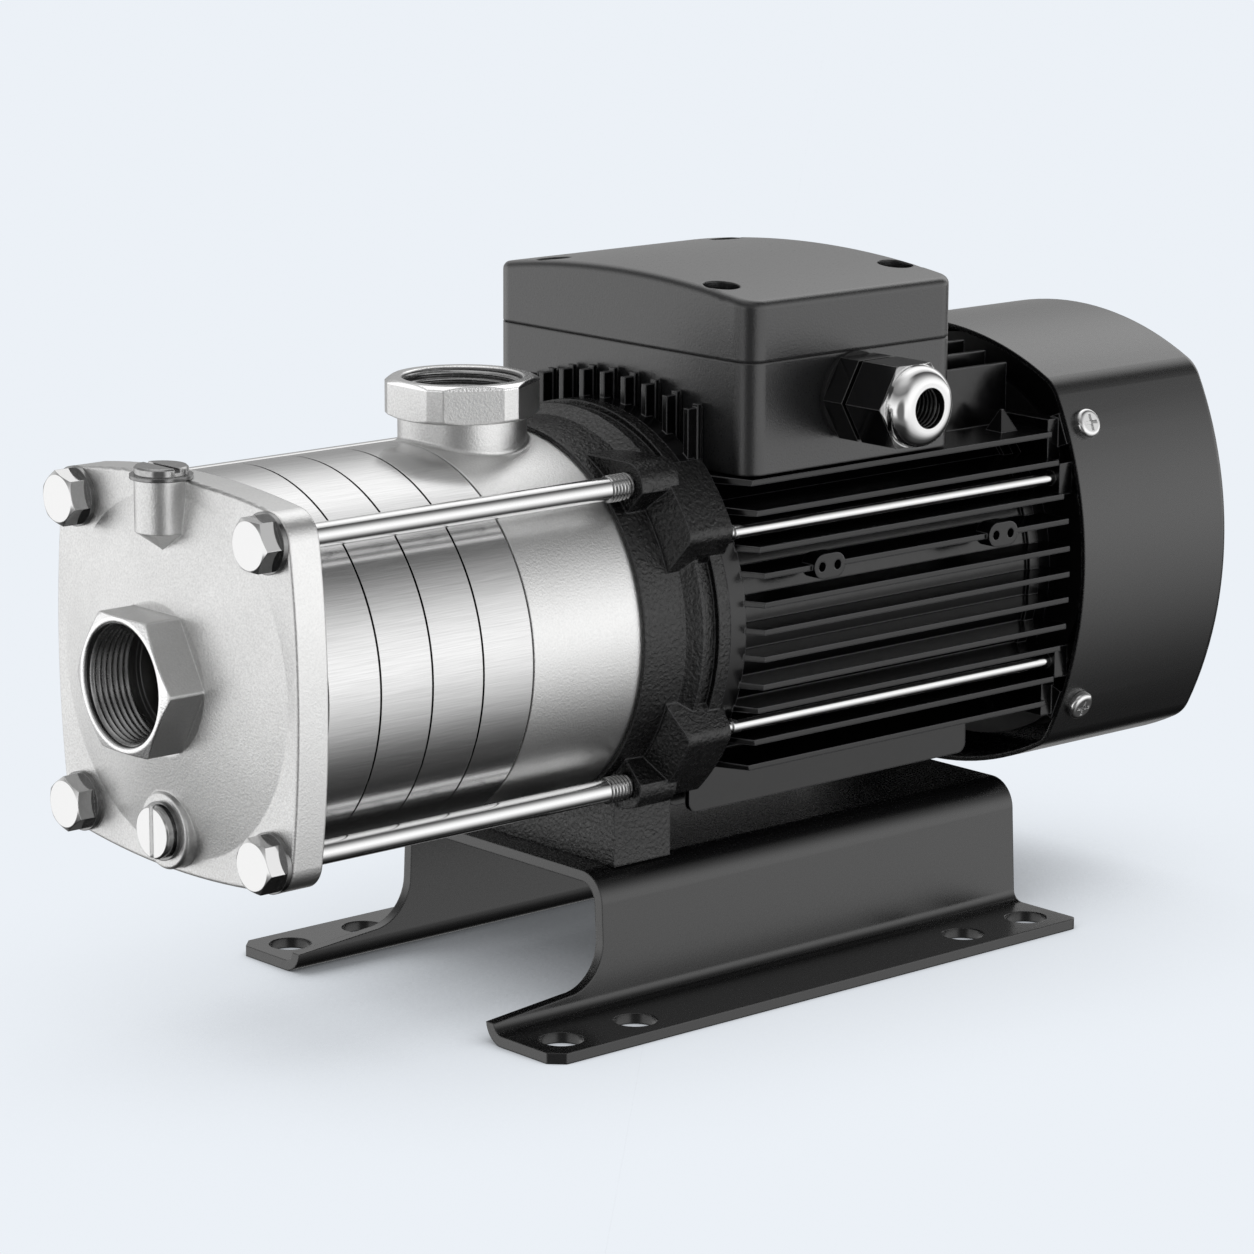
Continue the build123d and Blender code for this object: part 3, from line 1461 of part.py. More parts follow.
with BuildPart() as terminal_box_lid:
    add(crowned_block(*box_outside, box_corner_radius, 0))
    rim = terminal_box_lid.edges().filter_by(lambda edge: edge.center().Z > box_split + 15)
    rim = rim.filter_by(lambda edge: abs(edge.tangent_at(0.5).Z) < 0.5)
    fillet(rim, lid_edge_radius)
    add(crowned_block(*box_inside, box_inner_radius, box_wall), mode=Mode.SUBTRACT)
    with BuildSketch(Plane.XY.offset(lid_bottom)):
        with Locations(*column_places):
            Circle(lid_column_radius)
    extrude(amount=lid_screw_seat + 4 - lid_bottom)
    with BuildSketch(Plane.XY.offset(lid_screw_seat)):
        with Locations(*column_places):
            Circle(lid_recess_radius)
    extrude(amount=lid_crown - lid_screw_seat, mode=Mode.SUBTRACT)
    with BuildSketch(Plane.XY.offset(lid_bottom)):
        with Locations(*column_places):
            Circle(lid_screw_radius + 0.2)
    extrude(amount=lid_crown - lid_bottom, mode=Mode.SUBTRACT)
save(terminal_box_lid, "terminal_box_lid")

with BuildPart() as lid_screws:
    with BuildSketch(Plane.XY.offset(lid_screw_seat)):
        with Locations(*column_places):
            Circle(lid_screw_head)
    extrude(amount=3.4)
    with BuildSketch(Plane.XY.offset(lid_screw_seat + 3.4)):
        with Locations(*column_places):
            Rectangle(5.5, 1.2)
            Rectangle(1.2, 5.5)
    extrude(amount=-1.6, mode=Mode.SUBTRACT)
    with BuildSketch(Plane.XY.offset(lid_screw_seat)):
        with Locations(*column_places):
            Circle(lid_screw_radius)
    extrude(amount=-(lid_screw_seat - tray_top) - 12)
save(lid_screws, "lid_screws")

# Cable gland through the box's near wall
gland_axis = Axis((gland_x, 0, gland_z), (0, -1, 0))
gland_side = Plane(origin=(gland_x, -box_half_width, gland_z), x_dir=(0, -1, 0), z_dir=(1, 0, 0))
hex_radius = gland_flats / 2
body_end_out = gland_gasket + gland_body_hex
neck_end = body_end_out + gland_neck
nut_end = neck_end + gland_nut_length
gland_end = nut_end + gland_dome_length
seal_outer = gland_thread_radius + 2.2


def bored(*points, mode=Mode.ADD):
    """Turn a section given as (distance out of the wall, radius) round the gland's axis."""
    turned(*points, axis=gland_axis, plane=gland_side, mode=mode)


with BuildPart() as gland_seals:
    bored((0, gland_thread_radius), (0, 16), (gland_gasket, 16), (gland_gasket, gland_thread_radius))
    bored(
        (neck_end, gland_bore),
        (neck_end, seal_outer),
        (nut_end + 2, seal_outer),
        (nut_end + 2, gland_bore),
    )
save(gland_seals, "gland_seals")

with BuildPart() as gland_locknut:
    with BuildSketch(gland_plane.offset(-box_wall)):
        RegularPolygon(12, 6, major_radius=False)
        Circle(gland_thread_radius, mode=Mode.SUBTRACT)
    extrude(amount=-4)
save(gland_locknut, "gland_locknut")

with BuildPart() as gland_body:
    with BuildSketch(gland_plane.offset(gland_gasket)):
        RegularPolygon(hex_radius, 6, major_radius=False)
    extrude(amount=gland_body_hex)
    bored(
        (-box_wall - 5.5, 0),
        (-box_wall - 5.5, gland_thread_radius),
        (gland_gasket + 1, gland_thread_radius),
        (gland_gasket + 1, gland_neck_radius),
        (neck_end + 12, gland_neck_radius),
        (neck_end + 12, 0),
    )
    with BuildSketch(gland_plane.offset(neck_end + 12)):
        Circle(gland_bore - 1)
    extrude(amount=-neck_end - 12 - box_wall - 6, mode=Mode.SUBTRACT)
    with BuildSketch(gland_plane.offset(neck_end + 12)):
        Circle(seal_outer)
    extrude(amount=-12, mode=Mode.SUBTRACT)
save(gland_body, "gland_body")


with BuildPart() as gland_nut:
    with BuildSketch(gland_plane.offset(neck_end)):
        RegularPolygon(hex_radius, 6, major_radius=False)
    extrude(amount=gland_nut_length)
    bored(
        (nut_end, gland_dome_radius + 0.4),
        (nut_end - gland_hex_bevel, gland_flats * 0.58),
        (nut_end - gland_hex_bevel, gland_flats),
        (nut_end, gland_flats),
        mode=Mode.SUBTRACT,
    )
    with BuildSketch(gland_side):
        with BuildLine():
            Polyline(
                (gland_end, gland_dome_radius - gland_dome_rounding),
                (gland_end, 0),
                (nut_end - 1, 0),
                (nut_end - 1, gland_dome_radius),
                (gland_end - gland_dome_rounding, gland_dome_radius),
            )
            ThreePointArc(
                (gland_end - gland_dome_rounding, gland_dome_radius),
                (
                    gland_end - gland_dome_rounding * (1 - math.sqrt(0.5)),
                    gland_dome_radius - gland_dome_rounding * (1 - math.sqrt(0.5)),
                ),
                (gland_end, gland_dome_radius - gland_dome_rounding),
            )
        make_face()
    revolve(axis=gland_axis)
    with BuildSketch(gland_plane.offset(gland_end)):
        Circle(gland_bore)
    extrude(amount=-gland_end + neck_end, mode=Mode.SUBTRACT)
    with BuildSketch(gland_plane.offset(neck_end)):
        Circle(gland_neck_radius)
    extrude(amount=12, mode=Mode.SUBTRACT)
    with BuildSketch(gland_plane.offset(neck_end)):
        Circle(seal_outer)
    extrude(amount=nut_end + 2 - neck_end, mode=Mode.SUBTRACT)
save(gland_nut, "gland_nut")
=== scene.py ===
"""Looks of a horizontal multistage pump with its motor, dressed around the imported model."""

import json
import math

import bpy
from mathutils import Matrix, Vector


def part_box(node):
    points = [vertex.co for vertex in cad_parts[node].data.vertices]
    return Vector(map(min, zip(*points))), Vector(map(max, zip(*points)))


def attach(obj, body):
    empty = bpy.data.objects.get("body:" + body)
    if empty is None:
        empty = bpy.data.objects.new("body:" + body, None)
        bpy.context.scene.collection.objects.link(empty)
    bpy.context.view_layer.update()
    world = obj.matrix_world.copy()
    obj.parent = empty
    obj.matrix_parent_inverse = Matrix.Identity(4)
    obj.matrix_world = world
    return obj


bl_info = {
    "name": "Multistage Pump Looks",
    "version": (1, 0, 0),
    "blender": (4, 5, 0),
    "location": "3D View > Sidebar > Pump",
    "description": "Finishes, threads, studio stage and camera for a horizontal multistage pump",
    "category": "Object",
}

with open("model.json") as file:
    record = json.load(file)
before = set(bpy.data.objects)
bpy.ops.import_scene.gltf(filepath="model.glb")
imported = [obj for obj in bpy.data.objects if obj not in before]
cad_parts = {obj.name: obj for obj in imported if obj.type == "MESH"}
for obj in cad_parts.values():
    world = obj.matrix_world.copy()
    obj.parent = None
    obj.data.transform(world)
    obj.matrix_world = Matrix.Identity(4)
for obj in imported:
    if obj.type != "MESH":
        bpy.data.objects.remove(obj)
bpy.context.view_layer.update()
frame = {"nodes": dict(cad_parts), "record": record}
NODES = frame["nodes"]
MOUNTS = {mount["name"]: mount for mount in frame["record"]["mounts"]}

MM = 0.001
TURN = 2 * math.pi

# Height of the shaft
AXIS_HEIGHT = MOUNTS["suction_port"]["pos_m"][2]
# Ports: radius within which the bore's wall is painted dark as shade, its soft edge, and depths between
# which the bright rim ends
BORE = MOUNTS["suction_port"]["dims"]["r_mm"] * MM + 0.2 * MM
BORE_EDGE = 0.3 * MM
RIM_DEPTHS = (0.8 * MM, 1.0 * MM)
# Recess between stage rings painted dark as shade: its radii and its soft edge
GROOVE_RADII = (66.2 * MM, 67.5 * MM)
GROOVE_EDGE = 0.2 * MM
# Tie rods: radii of shank and thread, their washers' radius, the ears' set back behind the bracket's front
ROD_RADIUS = 4.2 * MM
ROD_THREAD_RADIUS = 4.85 * MM
WASHER_RADIUS = 10.5 * MM
EAR_SET_BACK = 4.8 * MM
# Threads: depth of a ridge's foot in the wall, start and length in the ports, and the gland bore's ridges
THREAD_SINK = 0.15 * MM
PORT_THREAD_START = 0.5 * MM
PORT_THREAD_LENGTH = 18 * MM
GLAND_RIDGES = {"start": 2.5 * MM, "depth": 0.5 * MM, "pitch": 2.0 * MM, "length": 11 * MM}
# Gland nut: length of the chromed dome and half of the soft edge to the black flats
DOME = 8.3 * MM
DOME_EDGE = 0.15 * MM
# Fan rim: overlap with the fan's disc, gaps to the cover's outside and the end shield, wall and length
FAN_OVERLAP = 10 * MM
COVER_GAP = 3.1 * MM
SHIELD_GAP = 1.0 * MM
FAN_RIM_WALL = 1.2 * MM
FAN_RIM_LENGTH = 28 * MM
FAN_RIM_STEPS = 96

# The mix node's sockets when it mixes colours
MIX_FACTOR, MIX_FIRST, MIX_SECOND, MIX_RESULT = 0, 6, 7, 2
# Range in which most of a noise's values lie
NOISE_SPREAD = (0.3, 0.7)
BEVEL_SAMPLES = 6
# How far a softened normal leans where an edge's painted highlight is at its fullest
EDGE_LEAN = 0.06


def gray(level):
    """A neutral colour."""
    return (level, level, level)


def shaded(color, level):
    """A colour at a share of its brightness."""
    return tuple(channel * level for channel in color)


def paint(color):
    """An output as it is, or a plain colour with its alpha."""
    return color if isinstance(color, bpy.types.NodeSocket) else (*color, 1.0)


NYLON = (0.005, 0.005, 0.0055)
CHROME = gray(0.8)
FAN_BLACK = (0.012, 0.012, 0.013)


class Wiring:
    """A node tree and the ways to wire it."""

    def __init__(self, tree):
        self.tree = tree

    def node(self, kind, **values):
        """Add a node; values name its sockets, or its own attributes."""
        made = self.tree.nodes.new(kind)
        for key, value in values.items():
            socket = key.replace("_", " ")
            if hasattr(made, key):
                setattr(made, key, value)
            elif socket in made.inputs:
                self.feed(made.inputs[socket], value)
            else:
                raise KeyError(f"{kind} has nothing named {key}")
        return made

    def feed(self, socket, value):
        """Link an output to a socket, or set the socket's value."""
        if isinstance(value, bpy.types.NodeSocket):
            self.tree.links.new(value, socket)
        else:
            socket.default_value = value

    def span(self, value, low, high, to_low=0.0, to_high=1.0, **kind):
        """Map a value from one range to another, held at the ends."""
        ends = {"From_Min": low, "From_Max": high, "To_Min": to_low, "To_Max": to_high}
        return self.node("ShaderNodeMapRange", Value=value, **ends, **kind).outputs["Result"]

    def math(self, operation, first, second=0.0):
        """One operation on one or two values."""
        made = self.node("ShaderNodeMath", operation=operation)
        self.feed(made.inputs[0], first)
        self.feed(made.inputs[1], second)
        return made.outputs[0]

    def dot(self, first, second):
        """How far two directions agree."""
        made = self.node("ShaderNodeVectorMath", operation="DOT_PRODUCT")
        self.feed(made.inputs[0], first)
        self.feed(made.inputs[1], second)
        return made.outputs["Value"]

    def split(self, vector):
        """The X, Y and Z of a vector."""
        return self.node("ShaderNodeSeparateXYZ", Vector=vector).outputs

    def blend(self, factor, first, second):
        """Mix two colours."""
        made = self.node("ShaderNodeMix", data_type="RGBA")
        self.feed(made.inputs[MIX_FACTOR], factor)
        self.feed(made.inputs[MIX_FIRST], paint(first))
        self.feed(made.inputs[MIX_SECOND], paint(second))
        return made.outputs[MIX_RESULT]

    def seen(self, lit, shown):
        """One shader for the light it gives and another for what the camera sees."""
        made = self.node("ShaderNodeMixShader")
        path = self.node("ShaderNodeLightPath")
        for socket, output in zip(made.inputs, (path.outputs["Is Camera Ray"], lit, shown)):
            self.feed(socket, output)
        return made.outputs[0]


class Finish(Wiring):
    """A procedural material and the node tree that is being wired for it."""

    def __init__(self, name, color, roughness, metallic=0.0):
        self.material = bpy.data.materials.new(name)
        self.material.use_nodes = True
        super().__init__(self.material.node_tree)
        self.shader = self.tree.nodes["Principled BSDF"]
        self.set("Base Color", (*color, 1.0))
        self.set("Roughness", roughness)
        self.set("Metallic", metallic)
        self.normal = None

    def set(self, socket, value):
        """Give one of the shader's own sockets a plain value or an output."""
        self.feed(self.shader.inputs[socket], value)

    def place(self, stretch=(1.0, 1.0, 1.0)):
        """Object coordinates in metres, stretched."""
        where = self.node("ShaderNodeTexCoord").outputs["Object"]
        return self.node("ShaderNodeMapping", Vector=where, Scale=stretch).outputs["Vector"]

    def noise(self, size, detail=3.0, roughness=0.5, stretch=(1.0, 1.0, 1.0), distortion=0.0):
        """Noise whose features are about a size in metres."""
        where = self.place(stretch)
        looks = {"Scale": 1.0 / size, "Detail": detail, "Roughness": roughness, "Distortion": distortion}
        return self.node("ShaderNodeTexNoise", Vector=where, **looks).outputs["Fac"]

    def spread(self, field, to_low=0.0, to_high=1.0):
        """Map a noise's usual values to a range."""
        return self.span(field, *NOISE_SPREAD, to_low, to_high)

    def reach(self, sockets, center):
        """Distance from an axis, by two coordinates and the axis's place in them."""
        squares = [
            self.math("POWER", self.math("SUBTRACT", socket, middle), 2.0)
            for socket, middle in zip(sockets, center)
        ]
        return self.math("SQRT", self.math("ADD", *squares))

    def bevel(self, radius):
        """Normals that turn smoothly within a radius of an edge."""
        return self.node("ShaderNodeBevel", samples=BEVEL_SAMPLES, Radius=radius).outputs["Normal"]

    def flat(self):
        """The surface's own normals."""
        return self.node("ShaderNodeNewGeometry").outputs["Normal"]

    def soften(self, radius):
        """Round the look of sharp edges by a radius in metres."""
        self.normal = self.bevel(radius)
        self.set("Normal", self.normal)

    def bump(self, height, depth, strength):
        """Raise the softened surface by a height field of a depth in metres."""
        size = {"Distance": depth, "Strength": strength}
        made = self.node("ShaderNodeBump", Height=height, Normal=self.normal, **size)
        self.normal = made.outputs["Normal"]
        self.set("Normal", self.normal)

    def edges(self, radius):
        """A mask that is one near sharp outer edges, where highlights are painted."""
        lean = self.math("SUBTRACT", 1.0, self.dot(self.bevel(radius), self.flat()))
        return self.span(lean, 0.0, EDGE_LEAN)


def port_masks(finish):
    """Masks of the ports' machined rims and of their bore walls, where shade is painted dark."""
    parts = finish.split(finish.place())
    outlet = MOUNTS["discharge_port"]["pos_m"]
    suction = finish.reach((parts["Y"], parts["Z"]), (0.0, AXIS_HEIGHT))
    discharge = finish.reach((parts["X"], parts["Y"]), outlet[:2])
    shaded_bore_masks = [finish.span(radius, BORE, BORE + BORE_EDGE, 1.0, 0.0) for radius in (suction, discharge)]
    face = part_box("suction_cover")[0][0]
    shallow, deep = RIM_DEPTHS
    mouth = finish.span(parts["X"], face + shallow, face + deep, 1.0, 0.0)
    top = finish.span(parts["Z"], outlet[2] - deep, outlet[2] - shallow)
    return finish.math("MAXIMUM", mouth, top), finish.math("MAXIMUM", *shaded_bore_masks)


def blasted_steel(settings):
    """Cast stainless steel: smooth bright flanks, blasted front faces, machined rims, and bore walls
    painted dark as shade.
    """
    steel = settings.cast_color
    finish = Finish("blasted_steel", steel, 0.3, metallic=1.0)
    finish.soften(0.9 * MM)
    grain = finish.noise(0.8 * MM, 3.0, 0.65)
    cloud = finish.noise(20 * MM, 2.0)
    front = finish.span(finish.split(finish.flat())["X"], -0.9, -0.6, 1.0, 0.0)
    tone = finish.span(finish.math("ADD", grain, finish.math("MULTIPLY", cloud, 0.3)), 0.45, 0.85)
    flank = finish.blend(tone, shaded(steel, 0.9), steel)
    blasted = finish.blend(tone, shaded(steel, 0.78), steel)
    rim, bore = port_masks(finish)
    color = finish.blend(front, flank, blasted)
    color = finish.blend(rim, color, gray(0.98))
    # The bore walls are painted dark grey as the shade inside the ports
    finish.set("Base Color", finish.blend(bore, color, gray(0.2)))
    plain = finish.span(front, 0.0, 1.0, 0.32, 0.35)
    finish.set("Roughness", finish.math("SUBTRACT", plain, finish.math("MULTIPLY", rim, 0.14)))
    finish.bump(grain, depth=0.13 * MM, strength=0.8)
    return finish.material


def brushed_ring(settings):
    """Drawn stainless ring with fine short streaks along the shaft, and shade painted dark in the recess
    at its joint.
    """
    steel = settings.ring_color
    finish = Finish("brushed_ring", steel, 0.2, metallic=1.0)
    finish.soften(0.2 * MM)
    streak = finish.noise(0.3 * MM, 2.0, 0.6, stretch=(0.015, 1.0, 1.0))
    tone = finish.blend(finish.spread(streak), shaded(steel, 0.84), steel)
    parts = finish.split(finish.place())
    radius = finish.reach((parts["Y"], parts["Z"]), (0.0, AXIS_HEIGHT))
    low, high = GROOVE_RADII
    inside = finish.span(radius, high, high + GROOVE_EDGE, 1.0, 0.0)
    painted_groove_shade = finish.math("MULTIPLY", inside, finish.span(radius, low, low + GROOVE_EDGE))
    # The joint's recess is painted near black as shade
    finish.set("Base Color", finish.blend(painted_groove_shade, tone, gray(0.03)))
    finish.set("Roughness", finish.spread(streak, 0.18, 0.22))
    finish.bump(streak, depth=0.0006 * MM, strength=0.5)
    return finish.material


def bright_steel(settings, name="bright_steel", radius=0.3 * MM, level=1.0):
    """Plated steel of rods, heads and plugs, with a trace of haze; a level below one paints a darker,
    shaded copy.
    """
    finish = Finish(name, shaded(settings.bright_color, level), 0.12, metallic=1.0)
    if radius:
        finish.soften(radius)
    haze = finish.noise(2 * MM)
    finish.set("Roughness", finish.span(haze, 0.3, 0.75, 0.09, 0.15))
    return finish.material


def black_coat(
    name,
    color,
    roughness,
    grain,
    depth,
    strength,
    specular=0.5,
    clear=1.0,
    pale=0.02,
    radius=0.8 * MM,
    uneven=0.15,
):
    """Black coat with a grain of a size and depth, a clear layer, and sharp edges painted pale as
    highlights.
    """
    finish = Finish(name, color, roughness)
    finish.set("Specular IOR Level", specular)
    finish.set("Coat Weight", clear)
    finish.set("Coat Roughness", roughness)
    finish.soften(radius)
    # The sharp edges are painted a pale grey as highlights
    finish.set("Base Color", finish.blend(finish.edges(0.6 * MM), color, (pale, pale, pale * 1.05)))
    texture = finish.noise(**grain)
    finish.set("Roughness", finish.spread(texture, roughness * (1 - uneven), roughness * (1 + uneven)))
    finish.bump(texture, depth, strength)
    finish.set("Coat Normal", finish.normal)
    return finish.material


def crinkle_iron(settings):
    """Black crinkle paint on cast iron."""
    return black_coat(
        "crinkle_iron",
        settings.bracket_color,
        roughness=0.24,
        grain={"size": 1.4 * MM, "roughness": 0.6, "distortion": 0.4},
        depth=0.6 * MM,
        strength=0.85,
        specular=0.65,
        clear=0.0,
        # Grey of the highlights painted on the bracket's edges
        pale=0.06,
        radius=1.0 * MM,
        uneven=0.3,
    )


def gloss_black(settings):
    """Smooth black paint of the cast motor frame, with highlights painted on the fins' edges."""
    return black_coat(
        "gloss_black",
        settings.frame_color,
        roughness=0.2,
        grain={"size": 3 * MM},
        depth=0.05 * MM,
        strength=0.4,
        specular=0.6,
        clear=0.0,
        # Grey of the highlights painted on the fins' edges
        pale=0.1,
    )


def satin_box(settings):
    """Fine textured satin coat of the terminal box and its lid."""
    return black_coat(
        "satin_box",
        settings.box_color,
        roughness=0.3,
        grain={"size": 0.7 * MM, "roughness": 0.6},
        depth=0.09 * MM,
        strength=0.8,
        radius=1.0 * MM,
    )


def satin_sheet(settings):
    """Powder coated sheet steel of the base plate and the fan cover."""
    return black_coat(
        "satin_sheet",
        settings.sheet_color,
        roughness=0.27,
        grain={"size": 1.0 * MM},
        depth=0.02 * MM,
        strength=0.5,
        clear=0.8,
    )


def plain_finish(name, color, roughness, metallic=0.0):
    """A quiet finish for small pieces and for those inside or mostly hidden."""
    finish = Finish(name, color, roughness, metallic)
    finish.soften(0.4 * MM)
    field = finish.noise(1.5 * MM)
    finish.set("Base Color", finish.blend(finish.spread(field), shaded(color, 0.8), color))
    finish.set("Roughness", finish.spread(field, roughness * 0.85, roughness * 1.15))
    finish.bump(field, depth=0.04 * MM, strength=0.5)
    return finish.material


def gland_black():
    """Glossy black nylon with highlights painted along its corners."""
    finish = Finish("gland_black", NYLON, 0.16)
    finish.set("Specular IOR Level", 1.0)
    finish.soften(0.6 * MM)
    # The corners are painted grey as highlights
    finish.set("Base Color", finish.blend(finish.edges(0.5 * MM), NYLON, gray(0.09)))
    finish.bump(finish.noise(5 * MM, 2.0), depth=0.04 * MM, strength=0.4)
    return finish.material


def gland_two_tone():
    """The gland nut: black flats and a chromed dome, parted by the distance from the wall; the flats'
    edges carry painted highlights.
    """
    finish = Finish("gland_two_tone", CHROME, 0.1)
    finish.set("Specular IOR Level", 1.0)
    finish.soften(0.4 * MM)
    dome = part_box("gland_nut")[0][1] + DOME
    parts = finish.split(finish.place())
    mask = finish.span(parts["Y"], dome - DOME_EDGE, dome + DOME_EDGE, 1.0, 0.0)
    # The flats' edges are painted grey as highlights
    flats = finish.blend(finish.edges(0.5 * MM), NYLON, gray(0.12))
    finish.set("Base Color", finish.blend(mask, flats, CHROME))
    finish.set("Metallic", mask)
    finish.set("Roughness", finish.span(mask, 0.0, 1.0, 0.14, 0.1))
    return finish.material


def dress(material, *names):
    """Give CAD nodes a material."""
    for name in names:
        slots = NODES[name].data.materials
        slots.clear()
        slots.append(material)


def new_object(name, vertices, faces, material, smooth):
    """A mesh object of its own in the scene."""
    mesh = bpy.data.meshes.new(name)
    mesh.from_pydata([tuple(vertex) for vertex in vertices], [], faces)
    mesh.validate()
    mesh.update()
    for polygon in mesh.polygons:
        polygon.use_smooth = smooth
    mesh.materials.append(material)
    made = bpy.data.objects.new(name, mesh)
    bpy.context.scene.collection.objects.link(made)
    return made


def mesh_piece(name, vertices, faces, material, body, slot, smooth=True):
    """A new mesh piece that rides on a body."""
    piece = new_object(name, vertices, faces, material, smooth)
    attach(piece, body)


def band(here, there, width):
    """Faces that join two rows of corners, each row closed on itself."""
    return [
        (here + step, here + (step + 1) % width, there + (step + 1) % width, there + step)
        for step in range(width)
    ]


def thread_ridge(start, along, root, crest, pitch, length, steps=56):
    """Vertices and faces of one screw thread ridge wound round an axis."""
    start = Vector(start)
    along = Vector(along).normalized()
    side = along.orthogonal().normalized()
    other = along.cross(side)
    foot = root + THREAD_SINK if root > crest else root - THREAD_SINK
    count = int(length / pitch * steps)
    # Corners of the ridge's section: place along the axis in pitches, and radius
    profile = ((-0.48, foot), (-0.44, root), (-0.1, crest), (0.1, crest), (0.44, root), (0.48, foot))
    width = len(profile)
    vertices = []
    for index in range(count + 1):
        angle = TURN * index / steps
        spoke = side * math.cos(angle) + other * math.sin(angle)
        # The ridge rises out of the wall over half a turn at each end
        run_in = min(1.0, index / (steps / 2), (count - index) / (steps / 2))
        for offset, radius in profile:
            travel = pitch * (index / steps + offset)
            vertices.append(start + along * travel + spoke * (foot + (radius - foot) * run_in))
    faces = []
    for index in range(count):
        faces += band(index * width, (index + 1) * width, width)
    faces.append(tuple(range(width))[::-1])
    faces.append(tuple(count * width + step for step in range(width)))
    return vertices, faces


def bore_ridge(mount, start, depth, pitch, length):
    """Vertices and faces of a thread ridge wound inward from the mouth of a mount's bore."""
    radius = mount["dims"]["r_mm"] * MM
    inward = -Vector(mount["axis"])
    first = Vector(mount["pos_m"]) + inward * start
    return thread_ridge(first, inward, radius, radius - depth, pitch, length)


def rod_threads(sizes):
    """Vertices and faces of the threads on the four tie rods, before the bracket's ears."""
    low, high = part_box("tie_rods")
    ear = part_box("motor_bracket")[0][0] + EAR_SET_BACK
    half = (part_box("tie_rod_washers")[1][1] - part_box("tie_rod_washers")[0][1]) / 2 - WASHER_RADIUS
    middle = (low[2] + high[2]) / 2
    steps = 40
    vertices, faces = [], []
    for side in (1, -1):
        for level in (1, -1):
            start = (ear - sizes.rod_length, side * half, middle + level * half)
            radii = (ROD_RADIUS, ROD_THREAD_RADIUS)
            ridge = thread_ridge(start, (1, 0, 0), *radii, sizes.rod_pitch, sizes.rod_length, steps)
            faces += [tuple(corner + len(vertices) for corner in face) for face in ridge[1]]
            vertices += ridge[0]
    return vertices, faces


def fan_rim():
    """Vertices and faces of a flanged ring round the shaft, between the fan and its cover, put in as a
    dark stand-in for the shade there.
    """
    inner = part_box("fan")[1][1] - FAN_OVERLAP
    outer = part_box("fan_cover")[1][1] - COVER_GAP
    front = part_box("rear_end_shield")[1][0] + SHIELD_GAP
    back = front + FAN_RIM_LENGTH
    profile = (
        (front, inner),
        (front, outer),
        (back, outer),
        (back, outer - FAN_RIM_WALL),
        (front + FAN_RIM_WALL, outer - FAN_RIM_WALL),
        (front + FAN_RIM_WALL, inner),
    )
    width = len(profile)
    vertices, faces = [], []
    for index in range(FAN_RIM_STEPS):
        angle = TURN * index / FAN_RIM_STEPS
        for x, radius in profile:
            vertices.append((x, radius * math.cos(angle), AXIS_HEIGHT + radius * math.sin(angle)))
        faces += band(index * width, (index + 1) % FAN_RIM_STEPS * width, width)
    return vertices, faces


def swatch(name, description, default):
    """A colour setting."""
    return bpy.props.FloatVectorProperty(
        name=name, description=description, subtype="COLOR", default=default
    )


def length_setting(name, description, default):
    """A setting for a length in metres."""
    return bpy.props.FloatProperty(name=name, description=description, unit="LENGTH", default=default)


class PumpFinishes(bpy.types.PropertyGroup):
    """Colours of the pump's finishes."""

    cast_color: swatch("Cast Stainless", "Bead blasted cast steel", (0.86, 0.86, 0.855))
    ring_color: swatch("Stage Rings", "Brushed stainless rings", (0.78, 0.78, 0.78))
    bright_color: swatch("Rods and Heads", "Polished plated steel", (0.80, 0.80, 0.80))
    bracket_color: swatch("Bracket", "Black crinkle paint", (0.002, 0.002, 0.0022))
    frame_color: swatch("Motor Frame", "Gloss black paint", (0.0015, 0.0015, 0.0018))
    box_color: swatch("Terminal Box", "Satin black coat", (0.013, 0.0133, 0.0143))
    sheet_color: swatch("Sheet Metal", "Powder coated sheet", (0.006, 0.006, 0.0065))


class PumpThreads(bpy.types.PropertyGroup):
    """Sizes of the visible screw threads."""

    port_pitch: length_setting("Port Pitch", "Pitch of the pipe threads", 2.309 * MM)
    port_depth: length_setting("Port Depth", "Height of the pipe thread's ridge", 1.3 * MM)
    rod_pitch: length_setting("Rod Pitch", "Pitch of the tie rods' thread", 1.5 * MM)
    rod_length: length_setting("Rod Thread", "Thread that shows before the ears", 10.0 * MM)


class PumpStage(bpy.types.PropertyGroup):
    """Floor, light and camera."""

    floor_color: swatch("Floor", "Colour of floor and background", (0.838, 0.879, 0.930))
    shadow: bpy.props.FloatProperty(
        name="Shadow", description="Darkness of the contact shadow", default=1.0
    )
    level: bpy.props.FloatProperty(name="Light", description="Level of the studio light", default=1.0)
    lens: bpy.props.FloatProperty(name="Lens", description="Focal length", unit="CAMERA", default=130.26)


class PUMP_OT_hydraulics(bpy.types.Operator):
    """Finish the suction cover, casings, rods and plugs"""

    bl_idname = "pump.hydraulics"
    bl_label = "Hydraulic Parts"

    def execute(self, context):
        settings = context.scene.pump_finishes
        dress(blasted_steel(settings), "suction_cover", "discharge_casing", "seal_plate")
        dress(brushed_ring(settings), *[f"stage_casing_{index}" for index in range(1, 5)])
        dress(bright_steel(settings), "tie_rods", "drain_plug", "motor_rods", "fan_cover_screws")
        dress(
            plain_finish("shaded_steel", gray(0.3), 0.16, metallic=1.0),
            "tie_rod_washers",
            "priming_plug_seal",
            "drain_plug_seal",
        )
        # The priming plug is steel painted darker as shade
        dress(plain_finish("plug_steel_shaded", gray(0.5), 0.13, metallic=1.0), "priming_plug")
        return {"FINISHED"}


